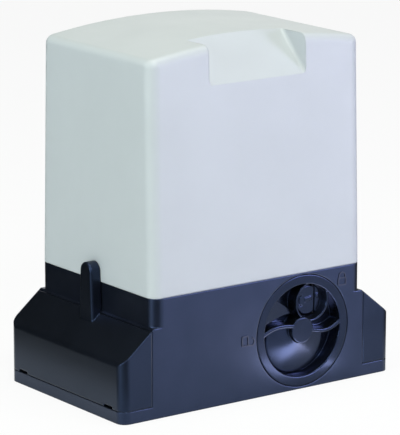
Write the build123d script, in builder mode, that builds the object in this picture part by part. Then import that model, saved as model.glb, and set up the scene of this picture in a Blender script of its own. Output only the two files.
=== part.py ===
from build123d import *
import math
import os

os.makedirs("parts", exist_ok=True)

# Sliding gate operator, in millimetres. The origin is the middle of the underside of the foot.
# +Z is up, -Y is the front with the release knob, +Y is the rear where the pinion meets the gate's rack.

# Base and side guards
base_width = 275.0
base_depth = 164.5
foot_thickness = 10.3
foot_corner = 8.0
body_width = 212.7
body_corner = 9.7
knob_top_margin = 1.1
seam_width = 216.0
shoulder_height = 74.8
guard_side_height = 49.3
guard_wall = 3.0
guard_gap = 0.3
guard_crease = 6.0
floor_thickness = 6.0
rim_height = 13.5
rim_wall = 3.1
seal_width = 2.0
seal_height = 5.0
seal_gap = 0.3
anchor_inset_x = 14.5
anchor_inset_y = 24.25
anchor_radius = 5.5
pry_notch_width = 12.0
pry_notch_height = 2.0
pry_notch_inset = 14.0

# Fins of the guards, which hide the cover's side screws
fin_width = 16.0
fin_root_width = 20.0
fin_height = 115.0
fin_reach = 10.3
fin_wall = 2.4
fin_edge = 2.0
fin_gap = 0.35

# Cover
cover_overhang = 0.5
cover_setback = 0.5
cover_side_height = 190.9
cover_side_draft = 0.9
cover_face_draft = 4.6
cover_top_radius = 7.0
cover_wall = 3.0
crown_rise = 9.2
plate_recess_width = 97.0
plate_recess_drop = 25.0
plate_recess_angle = 45.5
plate_recess_fillet = 3.0

# Side screws of the cover
cover_screw_rise = 8.3
cover_screw_radius = 2.0
cover_screw_head = 4.0
cover_screw_head_length = 2.4

# Output axis and release knob
shaft_x = 44.0
shaft_z = 49.8
knob_radius = 47.4
knob_gap = 0.4
knob_ring = 8.1
knob_depth = 15.25
knob_floor = 2.5
knob_hub_radius = 11.0
knob_rib = 3.2
knob_edge = 0.8
lobe_offset_x = -3.3
lobe_offset_z = -7.8
lobe_radius = 30.0
lobe_crown = 3.2
lobe_drop = 7.5
lobe_rim = 2.0
blade_drop = 2.2
blade_fall = 6.0
running_gap = 0.05

# Gear case
case_bore = 41.5
case_wall = 4.5
cup_wall = 3.0
cup_reach = 10.0
case_rear_wall = 4.0
neck_radius = 32.0
neck_bore = 25.0
deck_drop = 0.7
deck_thickness = 8.0
tower_wall = 4.5

# Worm gear
worm_module = 2.5
wheel_teeth = 30
wheel_face = 18.0
wheel_rear = 14.0
worm_pitch_radius = 12.0
worm_length = 40.0
pressure_angle = 20.0
flank_backlash = 0.35
tooth_root = 1.25

# Output shaft and pinion
shaft_radius = 12.5
shaft_front = -51.5
shaft_rear_gap = 1.0
collar_radius = 16.5
collar_width = 3.9
spigot_radius = 10.0
rod_radius = 4.9
pinion_module = 4.0
pinion_teeth = 16
pinion_face = 20.0
washer_thickness = 2.0
washer_radius = 16.0
pinion_bolt_radius = 4.0
pinion_bolt_head = 3.5
key_width = 6.0
key_height = 6.0
key_length = 16.0
bearing_outer = 26.0
bearing_width = 15.0
bearing_split = 18.5
seal_thickness = 7.0

# Release clutch
clutch_travel = 5.0
clutch_radius = 24.0
clutch_length = 18.0
dog_height = 4.0
dog_width = 6.0
dog_inner = 17.5
dog_count = 3
pin_radius = 3.0
spring_radius = 17.0
spring_wire = 1.4
spring_turns = 4

# Lock boss, key barrel and flip cap in the knob
lock_offset_x = 11.0
lock_offset_z = 23.0
lock_boss_radius = 17.0
lock_boss_drop = 1.5
lock_mouth_radius = 15.6
lock_seat_radius = 12.5
cap_radius = 11.9
cap_depth = 6.0
cap_thickness = 2.4
cap_gap = 0.3
cap_bar_start = -3.5
cap_bar_length = 7.5
cap_notch_radius = 4.6
cap_notch_shift = -6.6
cap_notch_width = 2.2
cap_notch_depth = 0.9
cap_bar_width = 3.4
cap_bar_height = 0.6
cap_bar_lean = 10.0
hinge_offset = 5.5
hinge_pin_radius = 0.6
hinge_pin_length = 26.0
barrel_radius = 8.0
barrel_tail_radius = 3.0
key_slot_length = 9.0
key_slot_width = 1.6
key_slot_depth = 2.5
cam_length = 10.0
cam_width = 6.0
cam_thickness = 2.2

# Cable entry in the floor
cable_entry_x = -76.0
cable_entry_y = -42.0
cable_entry_width = 34.0
cable_entry_depth = 50.0
cable_entry_corner = 6.0

# Screws of the gear cover plate
plate_screw_circle = 44.6
plate_screw_count = 6
plate_screw_turn = 20.0
plate_screw_radius = 1.5
plate_screw_head = 2.6
plate_screw_head_length = 1.6
plate_screw_grip = 9.0

# Release plunger and its ramp
cover_plate_thickness = 8.0
cover_plate_front = -62.0
plate_gap = 0.3
plate_floor_rear = -52.0
bearing_hub_wall = 4.5
plate_well = 15.0
boss_wall = 2.0
boss_length = 4.5
ramp_inner = 8.0
ramp_outer = 14.4
ramp_foot = 1.0
follower_radius = 2.0
follower_gap = 0.15
plunger_radius = 4.5
plunger_nose = 0.5

# Motor, standing on the gear case with the worm on its shaft
worm_y = 5.0
motor_side = 94.0
motor_corner = 14.0
motor_bell_bore = 44.5
lower_bell_height = 24.0
stator_height = 66.0
upper_bell_height = 36.0
bell_floor = 7.0
stator_bore = 29.2
air_gap = 0.5
winding_height = 15.0
winding_inner = 32.0
motor_shaft_radius = 7.5
motor_bearing_outer = 17.5
motor_bearing_width = 11.0
motor_bearing_split = 12.0
tie_bolt_radius = 2.5
tie_bolt_offset = 39.0
bolt_clearance = 0.1

# Control board and what it carries, on a support behind the cover's front
support_side_gap = 11.85
support_top_gap = 2.4
support_thickness = 3.0
support_y = -55.0
support_foot_thickness = 3.0
board_side_margin = 6.0
board_top_margin = 10.0
board_thickness = 1.6
board_standoff = 2.4
board_rise = 12.0
terminal_width = 15.0
terminal_height = 10.0
terminal_depth = 11.0
terminal_count = 8
relay_width = 19.0
relay_height = 24.0
relay_depth = 11.0
relay_count = 3
fuse_radius = 2.6
fuse_length = 22.0
fuse_holder_height = 4.0
fuse_rise = 22.0
switch_size = 8.0
switch_height = 4.0
switch_spacing = 14.0
switch_row_rise = 40.0
button_radius = 1.9
button_reach = 4.0
button_travel = 0.25
button_clearance = 0.1

# Transformer, capacitor and limit sensor
transformer_width = 36.0
transformer_depth = 44.0
transformer_height = 46.0
transformer_window = 7.0
capacitor_radius = 19.0
capacitor_height = 78.0
clip_wall = 1.5
clip_height = 14.0
sensor_width = 30.0
sensor_depth = 10.0
sensor_height = 22.0

# Places worked out from the sizes above
body_height = shaft_z + knob_radius + knob_gap + knob_top_margin
deck_height = body_height - deck_drop
anchor_spacing_x = base_width - 2 * anchor_inset_x
anchor_spacing_y = base_depth - 2 * anchor_inset_y
front_y = -base_depth / 2
rear_y = base_depth / 2
slope = (shoulder_height - guard_side_height) / ((base_width - body_width) / 2)
seam_height = guard_side_height + slope * (base_width - seam_width) / 2
cover_width = body_width + 2 * cover_overhang
cover_depth = base_depth - 2 * cover_setback
rim_width = cover_width - 2 * (cover_wall + seal_gap + seal_width)
rim_depth = cover_depth - 2 * (cover_wall + seal_gap + seal_width)
rim_corner = body_corner - cover_wall - seal_gap - seal_width
rim_top = body_height + rim_height
plate_recess_height = body_height + cover_side_height - plate_recess_drop
support_width = cover_width - 2 * (cover_wall + support_side_gap)
support_height = plate_recess_height - rim_top - support_top_gap
board_width = support_width - 2 * board_side_margin
board_height = support_height - board_rise - board_top_margin
cover_screw_height = body_height + cover_screw_rise
wheel_radius = worm_module * wheel_teeth / 2
worm_x = shaft_x - wheel_radius - worm_pitch_radius
knob_rear = front_y + knob_depth
case_front = cover_plate_front + cover_plate_thickness
case_rear = wheel_rear + dog_height
case_outer = case_bore + case_wall
shaft_axis = Axis((shaft_x, 0, shaft_z), (0, 1, 0))
turning_plane = Plane(origin=(shaft_x, 0, shaft_z), x_dir=(0, 1, 0), z_dir=(1, 0, 0))


def at_shaft(y):
    """A plane square to the output shaft, seen from the front."""
    return Plane(origin=(shaft_x, y, shaft_z), x_dir=(1, 0, 0), z_dir=(0, -1, 0))


def at_motor(z):
    """A level plane centred on the motor and the worm."""
    return Plane(origin=(worm_x, worm_y, z), x_dir=(1, 0, 0), z_dir=(0, 0, 1))


def disc(plane, radius, bore=0.0):
    """A round face, with a hole in it where a bore is given."""
    with BuildSketch(plane) as face:
        Circle(radius)
        if bore > 0:
            Circle(bore, mode=Mode.SUBTRACT)
    return face.sketch


def turned(points, plane=turning_plane):
    """The face inside a closed outline of (place along the axis, radius) points."""
    with BuildSketch(plane) as face:
        with BuildLine():
            Polyline(*points, close=True)
        make_face()
    return face.sketch


def tooth_flank(radius, teeth, module, backlash):
    """Half the angle that an involute tooth takes up at a radius, in radians."""
    pitch_radius = teeth * module / 2
    base_radius = pitch_radius * math.cos(math.radians(pressure_angle))
    half = (math.pi * module / 4 - backlash) / pitch_radius
    at_pitch = math.tan(math.radians(pressure_angle)) - math.radians(pressure_angle)
    opening = math.acos(min(1.0, base_radius / radius))
    return half + at_pitch - (math.tan(opening) - opening)


def toothed(plane, teeth, module, turn=0.0, backlash=0.0):
    """The outline of a gear wheel, with a gap between teeth at the turn angle in degrees."""
    pitch_radius = teeth * module / 2
    radii = [pitch_radius - tooth_root * module, pitch_radius, pitch_radius + module]
    corners = []
    for tooth in range(teeth):
        middle = math.radians(turn) + (tooth + 0.5) * 2 * math.pi / teeth
        angles = [tooth_flank(radius, teeth, module, backlash) for radius in radii]
        rising = [(radius, middle - angle) for radius, angle in zip(radii, angles)]
        falling = [(radius, middle + angle) for radius, angle in zip(radii, angles)]
        for radius, angle in rising + falling[::-1]:
            corners.append((radius * math.cos(angle), radius * math.sin(angle)))
    with BuildSketch(plane) as face:
        with BuildLine():
            Polyline(*corners, close=True)
        make_face()
    return face.sketch


# Gear case, a core of the housing

recess_radius = knob_radius + knob_gap
cup_outer = recess_radius + cup_wall
neck_front = case_rear + case_rear_wall
deck_bottom = deck_height - deck_thickness
tunnel_radius = motor_bearing_outer
deck_left_front = -12.0
rear_bearing_front = rear_y - seal_thickness - 1.0 - bearing_width

with BuildPart() as gear_case:
    extrude(disc(at_shaft(case_front + cup_reach), cup_outer), amount=case_front + cup_reach - front_y)
    extrude(disc(at_shaft(neck_front), case_outer), amount=neck_front - case_front)
    extrude(disc(at_shaft(rear_y), neck_radius), amount=rear_y - neck_front)
    extrude(disc(at_motor(0), tunnel_radius + tower_wall), amount=deck_height)
    with BuildSketch(Plane.XY.offset(deck_bottom)):
        with Locations((worm_x, worm_y)):
            Rectangle(motor_side, motor_side)
        with Locations((0, (deck_left_front + worm_y + motor_side / 2) / 2)):
            Rectangle(rim_width, worm_y + motor_side / 2 - deck_left_front)
    extrude(amount=deck_thickness)
    with BuildSketch(Plane.XY):
        Rectangle(rim_width - 2 * rim_wall + 1, base_depth)
    extrude(amount=deck_height, mode=Mode.INTERSECT)

# Base housing: foot, walls, gear case, worm tunnel and motor seat in one casting

with BuildPart() as base_housing:
    with BuildSketch(Plane.XY):
        RectangleRounded(base_width, base_depth, foot_corner)
    extrude(amount=foot_thickness)
    with BuildSketch(Plane.XZ):
        with BuildLine():
            Polyline(
                (-seam_width / 2, 0),
                (seam_width / 2, 0),
                (seam_width / 2, seam_height),
                (body_width / 2, shoulder_height),
                (-body_width / 2, shoulder_height),
                (-seam_width / 2, seam_height),
                close=True,
            )
        make_face()
    extrude(amount=base_depth / 2, both=True)
    with BuildSketch(Plane.XY):
        RectangleRounded(body_width, base_depth, body_corner)
    extrude(amount=body_height)
    with BuildSketch(Plane.XY.offset(floor_thickness)):
        RectangleRounded(rim_width, rim_depth, rim_corner)
    extrude(amount=rim_top - floor_thickness)
    with BuildSketch(Plane.XY.offset(floor_thickness)):
        RectangleRounded(rim_width - 2 * rim_wall, rim_depth - 2 * rim_wall, rim_corner - rim_wall / 2)
    extrude(amount=rim_top - floor_thickness, mode=Mode.SUBTRACT)
    add(gear_case.part)
    # Recess of the knob and of the plate behind it
    extrude(disc(at_shaft(case_front), recess_radius), amount=case_front - front_y, mode=Mode.SUBTRACT)
    # Room of the worm wheel
    extrude(disc(at_shaft(case_rear), case_bore), amount=case_rear - case_front, mode=Mode.SUBTRACT)
    # Neck, with the seat of the rear bearing and of the seal
    extrude(disc(at_shaft(rear_bearing_front), neck_bore), amount=rear_bearing_front, mode=Mode.SUBTRACT)
    extrude(disc(at_shaft(rear_y), bearing_outer), amount=rear_y - rear_bearing_front, mode=Mode.SUBTRACT)
    # Tunnel of the worm
    with BuildSketch(at_motor(floor_thickness + 2)):
        Circle(tunnel_radius)
    extrude(amount=deck_height, mode=Mode.SUBTRACT)
    # Threaded holes of the motor's tie bolts
    with BuildSketch(at_motor(deck_bottom)):
        with GridLocations(2 * tie_bolt_offset, 2 * tie_bolt_offset, 2, 2):
            Circle(tie_bolt_radius + bolt_clearance)
    extrude(amount=deck_thickness, mode=Mode.SUBTRACT)
    # Holes of the cover's side screws in the rim
    with BuildSketch(Plane.YZ.offset(-rim_width / 2)):
        with Locations((0, cover_screw_height)):
            Circle(cover_screw_radius + bolt_clearance)
    extrude(amount=rim_width, mode=Mode.SUBTRACT)
    # Way in for the cables, through the floor
    with BuildSketch(Plane.XY):
        with Locations((cable_entry_x, cable_entry_y)):
            RectangleRounded(cable_entry_width, cable_entry_depth, cable_entry_corner)
    extrude(amount=floor_thickness, mode=Mode.SUBTRACT)
    # Screw holes of the gear cover plate
    with BuildSketch(at_shaft(case_front)):
        with PolarLocations(plate_screw_circle, plate_screw_count, start_angle=plate_screw_turn):
            Circle(plate_screw_radius + bolt_clearance)
    extrude(amount=-plate_screw_grip, mode=Mode.SUBTRACT)
    # Anchor holes of the foot
    with BuildSketch(Plane.XY):
        with GridLocations(anchor_spacing_x, anchor_spacing_y, 2, 2):
            Circle(anchor_radius)
    extrude(amount=foot_thickness, mode=Mode.SUBTRACT)

base_housing.part.label = "base_housing"
export_step(base_housing.part, "parts/base_housing.step")

# Side guards, open below and towards the housing, each with a fin that hides a cover screw

guard_bottom = foot_thickness + guard_gap
guard_inner = seam_width / 2 + guard_gap
guard_inner_height = guard_side_height + slope * (base_width / 2 - guard_inner)
guard_drop = guard_wall * math.hypot(1, slope)
fin_inner = cover_width / 2 + fin_gap
fin_outer = body_width / 2 + fin_reach
fin_arc_height = fin_height - fin_width / 2
fin_pocket_radius = cover_screw_head + 1.2

with BuildPart() as guard_fin:
    with BuildSketch(Plane.YZ.offset(fin_inner)):
        with BuildLine():
            Polyline(
                (-fin_width / 2, fin_arc_height),
                (-fin_root_width / 2, guard_side_height + 10),
                (fin_root_width / 2, guard_side_height + 10),
                (fin_width / 2, fin_arc_height),
            )
            ThreePointArc((fin_width / 2, fin_arc_height), (0, fin_height), (-fin_width / 2, fin_arc_height))
        make_face()
    extrude(amount=fin_outer - fin_inner)
    fillet(guard_fin.faces().sort_by(Axis.X)[-1].edges(), fin_edge)

with BuildPart() as side_guard_right:
    with BuildSketch(Plane.XZ):
        with BuildLine():
            Polyline(
                (guard_inner, guard_bottom),
                (base_width / 2, guard_bottom),
                (base_width / 2, guard_side_height),
                (guard_inner, guard_inner_height),
                close=True,
            )
        outline = make_face()
        crease = outline.vertices().group_by(Axis.X)[-1].sort_by(Axis.Z)[-1:]
        fillet(crease, guard_crease)
    extrude(amount=base_depth / 2, both=True)
    with BuildSketch(Plane.XY):
        RectangleRounded(base_width, base_depth, foot_corner)
    extrude(amount=fin_height, mode=Mode.INTERSECT)
    with BuildSketch(Plane.XZ):
        with BuildLine():
            Polyline(
                (guard_inner - 1, guard_bottom - 1),
                (base_width / 2 - guard_wall, guard_bottom - 1),
                (base_width / 2 - guard_wall, guard_side_height - guard_drop + slope * guard_wall),
                (guard_inner - 1, guard_inner_height - guard_drop + slope),
                close=True,
            )
        make_face()
    extrude(amount=base_depth / 2 - guard_wall, both=True, mode=Mode.SUBTRACT)
    # Pry notches in the bottom edge of the side wall
    with BuildSketch(Plane.YZ.offset(base_width / 2)):
        with Locations((0, guard_bottom)):
            with GridLocations(base_depth - 2 * pry_notch_inset - pry_notch_width, 1, 2, 1):
                Rectangle(pry_notch_width, 2 * pry_notch_height)
    extrude(amount=-guard_wall, mode=Mode.SUBTRACT)
    add(guard_fin.part)
    with BuildSketch(Plane.XZ):
        with BuildLine():
            Polyline(
                (fin_inner - 1, 0),
                (guard_inner, 0),
                (guard_inner, shoulder_height + guard_gap),
                (fin_inner - 1, shoulder_height + guard_gap),
                close=True,
            )
        make_face()
    extrude(amount=fin_root_width, both=True, mode=Mode.SUBTRACT)
    with BuildSketch(Plane.YZ.offset(fin_inner)):
        with Locations((0, cover_screw_height)):
            Circle(fin_pocket_radius)
    extrude(amount=fin_outer - fin_inner - fin_wall, mode=Mode.SUBTRACT)

side_guard_right.part.label = "side_guard_right"
export_step(side_guard_right.part, "parts/side_guard_right.step")

with BuildPart() as side_guard_left:
    mirror(side_guard_right.part, about=Plane.YZ)

side_guard_left.part.label = "side_guard_left"
export_step(side_guard_left.part, "parts/side_guard_left.step")

# Top cover, drafted, crowned along the front, with a sloped plate recess in its front top edge

recess_lean = math.radians(plate_recess_angle)


def cover_form(inset):
    """The cover's outer form, or with an inset the hollow inside it."""
    reach = cover_side_height + crown_rise + cover_wall
    narrowing = 2 * cover_side_draft * reach / cover_side_height
    shallowing = 2 * cover_face_draft * reach / cover_side_height
    width = cover_width - 2 * inset
    depth = cover_depth - 2 * inset
    eaves = body_height + cover_side_height - inset
    with BuildPart() as form:
        with BuildSketch(Plane.XY.offset(body_height)):
            RectangleRounded(width, depth, body_corner - inset)
        with BuildSketch(Plane.XY.offset(body_height + reach)):
            RectangleRounded(width - narrowing, depth - shallowing, body_corner - inset)
        loft()
        with BuildSketch(Plane.XZ):
            with BuildLine():
                Polyline(
                    (-cover_width / 2, eaves),
                    (-cover_width / 2, body_height),
                    (cover_width / 2, body_height),
                    (cover_width / 2, eaves),
                )
                ThreePointArc((cover_width / 2, eaves), (0, eaves + crown_rise), (-cover_width / 2, eaves))
            make_face()
        extrude(amount=cover_depth, both=True, mode=Mode.INTERSECT)
        fillet(form.faces().sort_by(Axis.Z)[-1].edges(), cover_top_radius - inset)
    return form.part


def plate_wedge(inset):
    """The block cut away for the plate recess, or with an inset the wall that backs it."""
    start_y = -cover_depth / 2 + cover_face_draft * (plate_recess_height - body_height) / cover_side_height
    along = Vector(math.cos(recess_lean), math.sin(recess_lean))
    inward = Vector(math.sin(recess_lean), -math.cos(recess_lean))
    start = Vector(start_y, plate_recess_height) + inward * inset
    low = start - along * cover_depth / 8
    high = start + along * cover_depth / 2
    with BuildPart() as wedge:
        with BuildSketch(Plane.YZ):
            with BuildLine():
                Polyline((low.X, low.Y), (high.X, high.Y), (low.X, high.Y), close=True)
            make_face()
        extrude(amount=plate_recess_width / 2 + inset, both=True)
        floor = wedge.faces().filter_by(Axis.X, reverse=True).sort_by(Axis((0, 0, 0), (0, inward.X, inward.Y)))[-1]
        fillet(floor.edges().filter_by(Axis.X, reverse=True), plate_recess_fillet)
    return wedge.part


with BuildPart() as cover_hollow:
    add(cover_form(cover_wall))
    add(plate_wedge(cover_wall), mode=Mode.SUBTRACT)

with BuildPart() as top_cover:
    add(cover_form(0))
    add(cover_hollow.part, mode=Mode.SUBTRACT)
    add(plate_wedge(0), mode=Mode.SUBTRACT)
    with BuildSketch(Plane.YZ):
        with Locations((0, cover_screw_height)):
            Circle(cover_screw_radius + 2 * bolt_clearance)
    extrude(amount=cover_width, both=True, mode=Mode.SUBTRACT)

top_cover.part.label = "top_cover"
export_step(top_cover.part, "parts/top_cover.step")

with BuildPart() as cover_seal:
    with BuildSketch(Plane.XY.offset(body_height)):
        RectangleRounded(rim_width + 2 * seal_width, rim_depth + 2 * seal_width, rim_corner + seal_width)
        RectangleRounded(rim_width, rim_depth, rim_corner, mode=Mode.SUBTRACT)
    extrude(amount=seal_height)

cover_seal.part.label = "cover_seal"
export_step(cover_seal.part, "parts/cover_seal.step")

with BuildPart() as cover_screws:
    with BuildSketch(Plane.YZ.offset(cover_width / 2)):
        with Locations((0, cover_screw_height)):
            Circle(cover_screw_head)
    extrude(amount=cover_screw_head_length)
    with BuildSketch(Plane.YZ.offset(rim_width / 2 - rim_wall)):
        with Locations((0, cover_screw_height)):
            Circle(cover_screw_radius)
    extrude(amount=cover_width / 2 - rim_width / 2 + rim_wall)
    mirror(about=Plane.YZ)

cover_screws.part.label = "cover_screws"
export_step(cover_screws.part, "parts/cover_screws.step")

# Gear cover plate, which closes the gear case behind the knob and carries the front bearing

plate_front = case_front - cover_plate_thickness
boss_front = plate_front - boss_length
boss_radius = plate_well + boss_wall
follower_y = knob_rear + ramp_foot + follower_gap + follower_radius * 1.02
follower_reach = boss_radius - 1.0
well_floor = follower_y + clutch_travel + follower_radius + 0.3
front_bearing_rear = plate_floor_rear + bearing_width
guide_slot_width = 2 * follower_radius + 0.4
ring_y = boss_front + 1.6
ring_thickness = 1.0
ring_inner = boss_radius - 0.8
ring_outer = boss_radius + 1.0

with BuildPart() as gear_cover_plate:
    extrude(disc(at_shaft(case_front), recess_radius - plate_gap), amount=cover_plate_thickness)
    extrude(
        disc(at_shaft(front_bearing_rear), bearing_outer + bearing_hub_wall),
        amount=front_bearing_rear - case_front,
    )
    extrude(disc(at_shaft(plate_front), boss_radius), amount=boss_length)
    extrude(
        disc(at_shaft(front_bearing_rear), bearing_outer),
        amount=bearing_width,
        mode=Mode.SUBTRACT,
    )
    extrude(disc(at_shaft(well_floor), plate_well), amount=well_floor - boss_front, mode=Mode.SUBTRACT)
    extrude(
        disc(at_shaft(case_front), plunger_radius + running_gap),
        amount=case_front - boss_front,
        both=True,
        mode=Mode.SUBTRACT,
    )
    # Slot that keeps the plunger's follower pin from turning
    with BuildSketch(at_shaft(well_floor)):
        with Locations((0, boss_radius / 2)):
            Rectangle(guide_slot_width, boss_radius + 0.4)
    extrude(amount=well_floor - boss_front, mode=Mode.SUBTRACT)
    # Groove of the knob's retaining ring
    extrude(
        disc(at_shaft(ring_y + ring_thickness / 2 + 0.1), boss_radius + 1, ring_inner - 0.1),
        amount=ring_thickness + 0.2,
        mode=Mode.SUBTRACT,
    )
    # Countersunk screw holes
    with BuildSketch(at_shaft(case_front)):
        with PolarLocations(plate_screw_circle, plate_screw_count, start_angle=plate_screw_turn):
            Circle(plate_screw_radius + bolt_clearance)
    extrude(amount=cover_plate_thickness, mode=Mode.SUBTRACT)
    with BuildSketch(at_shaft(plate_front + plate_screw_head_length)):
        with PolarLocations(plate_screw_circle, plate_screw_count, start_angle=plate_screw_turn):
            Circle(plate_screw_head + bolt_clearance)
    extrude(amount=cover_plate_thickness, mode=Mode.SUBTRACT)

gear_cover_plate.part.label = "gear_cover_plate"
export_step(gear_cover_plate.part, "parts/gear_cover_plate.step")

with BuildPart() as plate_screws:
    with BuildSketch(at_shaft(plate_front + plate_screw_head_length)):
        with PolarLocations(plate_screw_circle, plate_screw_count, start_angle=plate_screw_turn):
            Circle(plate_screw_head)
    extrude(amount=plate_screw_head_length)
    with BuildSketch(at_shaft(case_front + plate_screw_grip)):
        with PolarLocations(plate_screw_circle, plate_screw_count, start_angle=plate_screw_turn):
            Circle(plate_screw_radius)
    extrude(amount=plate_screw_grip + cover_plate_thickness - plate_screw_head_length)

plate_screws.part.label = "plate_screws"
export_step(plate_screws.part, "parts/plate_screws.step")

# Output shaft with its key, bearings, circlips and seal

shaft_shoulder = rear_y + shaft_rear_gap
spigot_end = shaft_shoulder + pinion_face
wheel_front = -wheel_rear
clutch_front = case_rear + 0.2
clutch_rear = clutch_front + clutch_length
pin_y = clutch_front + clutch_length / 2
rod_front = shaft_front
rod_rear = pin_y - pin_radius - running_gap
rod_bore = rod_radius + running_gap
seal_front = rear_bearing_front + bearing_width
circlip_width = 1.5
circlip_radius = shaft_radius + 2.5

with BuildPart() as output_shaft:
    outline = turned([
        (shaft_front, 0),
        (shaft_front, shaft_radius),
        (wheel_front - collar_width - running_gap, shaft_radius),
        (wheel_front - collar_width - running_gap, collar_radius),
        (wheel_front - running_gap, collar_radius),
        (wheel_front - running_gap, shaft_radius),
        (shaft_shoulder, shaft_radius),
        (shaft_shoulder, spigot_radius),
        (spigot_end, spigot_radius),
        (spigot_end, 0),
    ])
    revolve(outline, axis=shaft_axis)
    slot_rear = pin_y + clutch_travel + pin_radius + 0.2
    extrude(disc(at_shaft(slot_rear), rod_bore), amount=slot_rear - shaft_front, mode=Mode.SUBTRACT)
    # Cross slot in which the clutch pin slides
    with BuildSketch(Plane(origin=(shaft_x, 0, shaft_z), x_dir=(0, 1, 0), z_dir=(1, 0, 0))):
        with Locations((pin_y + clutch_travel / 2, 0)):
            SlotCenterToCenter(clutch_travel + 0.2, 2 * pin_radius + 0.2)
    extrude(amount=shaft_radius + 1, both=True, mode=Mode.SUBTRACT)
    # Keyway and bolt hole of the spigot
    with BuildSketch(Plane(origin=(shaft_x, 0, shaft_z), x_dir=(0, 1, 0), z_dir=(1, 0, 0))):
        with Locations((shaft_shoulder + pinion_face / 2, spigot_radius)):
            Rectangle(key_length, key_height)
    extrude(amount=key_width / 2, both=True, mode=Mode.SUBTRACT)
    extrude(
        disc(at_shaft(spigot_end), pinion_bolt_radius + bolt_clearance),
        amount=pinion_face,
        mode=Mode.SUBTRACT,
    )

output_shaft.part.label = "output_shaft"
export_step(output_shaft.part, "parts/output_shaft.step")

with BuildPart() as pinion_key:
    with BuildSketch(Plane(origin=(shaft_x, 0, shaft_z), x_dir=(0, 1, 0), z_dir=(1, 0, 0))):
        with Locations((shaft_shoulder + pinion_face / 2, spigot_radius)):
            Rectangle(key_length, key_height)
    extrude(amount=key_width / 2, both=True)

pinion_key.part.label = "pinion_key"
export_step(pinion_key.part, "parts/pinion_key.step")

with BuildPart() as pinion:
    extrude(toothed(at_shaft(spigot_end), pinion_teeth, pinion_module), amount=pinion_face)
    extrude(disc(at_shaft(spigot_end), spigot_radius), amount=pinion_face, mode=Mode.SUBTRACT)
    with BuildSketch(at_shaft(spigot_end)):
        with Locations((0, spigot_radius)):
            Rectangle(key_width, key_height)
    extrude(amount=pinion_face, mode=Mode.SUBTRACT)

pinion.part.label = "pinion"
export_step(pinion.part, "parts/pinion.step")

with BuildPart() as pinion_washer:
    washer_rear = spigot_end + washer_thickness
    extrude(disc(at_shaft(washer_rear), washer_radius, pinion_bolt_radius + bolt_clearance), amount=washer_thickness)

pinion_washer.part.label = "pinion_washer"
export_step(pinion_washer.part, "parts/pinion_washer.step")

with BuildPart() as pinion_bolt:
    bolt_rear = spigot_end + washer_thickness + pinion_bolt_head
    with BuildSketch(at_shaft(bolt_rear)):
        RegularPolygon(2 * pinion_bolt_radius, 6)
    extrude(amount=pinion_bolt_head)
    extrude(disc(at_shaft(spigot_end + washer_thickness), pinion_bolt_radius), amount=pinion_face)

pinion_bolt.part.label = "pinion_bolt"
export_step(pinion_bolt.part, "parts/pinion_bolt.step")

with BuildPart() as shaft_bearing_outers:
    for rear in (front_bearing_rear, rear_bearing_front + bearing_width):
        extrude(disc(at_shaft(rear), bearing_outer, bearing_split + running_gap), amount=bearing_width)

shaft_bearing_outers.part.label = "shaft_bearing_outers"
export_step(shaft_bearing_outers.part, "parts/shaft_bearing_outers.step")

with BuildPart() as shaft_bearing_inners:
    for rear in (front_bearing_rear, rear_bearing_front + bearing_width):
        extrude(disc(at_shaft(rear), bearing_split, shaft_radius), amount=bearing_width)

shaft_bearing_inners.part.label = "shaft_bearing_inners"
export_step(shaft_bearing_inners.part, "parts/shaft_bearing_inners.step")

with BuildPart() as shaft_circlips:
    for rear in (front_bearing_rear + circlip_width, rear_bearing_front):
        extrude(disc(at_shaft(rear), circlip_radius, shaft_radius), amount=circlip_width)

shaft_circlips.part.label = "shaft_circlips"
export_step(shaft_circlips.part, "parts/shaft_circlips.step")

with BuildPart() as shaft_seal:
    extrude(
        disc(at_shaft(seal_front + seal_thickness), bearing_outer, shaft_radius + running_gap),
        amount=seal_thickness,
    )

shaft_seal.part.label = "shaft_seal"
export_step(shaft_seal.part, "parts/shaft_seal.step")

# Worm wheel, with the dogs of the release clutch on its rear face, and its bush

wheel_bore = shaft_radius + 3.0
wheel_web = 10.0
wheel_web_inner = 26.0
rim_front = wheel_rear - wheel_face
rim_middle = wheel_rear - wheel_face / 2
wheel_root = wheel_radius - tooth_root * worm_module
lead_angle = math.atan2(worm_module / 2, worm_pitch_radius)
half_twist = math.degrees(wheel_face / 2 * math.tan(lead_angle) / wheel_radius)

with BuildPart() as worm_wheel:
    for face_y, twist in ((wheel_rear, -half_twist), (rim_front, half_twist)):
        add(toothed(at_shaft(face_y), wheel_teeth, worm_module, 180 + twist, flank_backlash))
    loft(ruled=True)
    for face_y in (wheel_rear, rim_front + (wheel_face - wheel_web) / 2):
        extrude(
            disc(at_shaft(face_y), wheel_root - 4.0, wheel_web_inner),
            amount=(wheel_face - wheel_web) / 2,
            mode=Mode.SUBTRACT,
        )
    extrude(disc(at_shaft(case_rear), clutch_radius, dog_inner), amount=dog_height)
    extrude(disc(at_shaft(wheel_rear), clutch_radius), amount=wheel_rear - wheel_front)
    extrude(disc(at_shaft(wheel_rear), wheel_bore), amount=wheel_rear - wheel_front, mode=Mode.SUBTRACT)
    with BuildSketch(at_shaft(case_rear)):
        with PolarLocations((clutch_radius + dog_inner) / 2, dog_count, start_angle=90):
            Rectangle(2 * (clutch_radius - dog_inner), dog_width + 0.6)
    extrude(amount=dog_height, mode=Mode.SUBTRACT)

worm_wheel.part.label = "worm_wheel"
export_step(worm_wheel.part, "parts/worm_wheel.step")

with BuildPart() as wheel_bush:
    extrude(disc(at_shaft(wheel_rear), wheel_bore, shaft_radius + running_gap), amount=wheel_rear - wheel_front)

wheel_bush.part.label = "wheel_bush"
export_step(wheel_bush.part, "parts/wheel_bush.step")

# Dog clutch: sleeve, cross pin, push rod and spring

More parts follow.
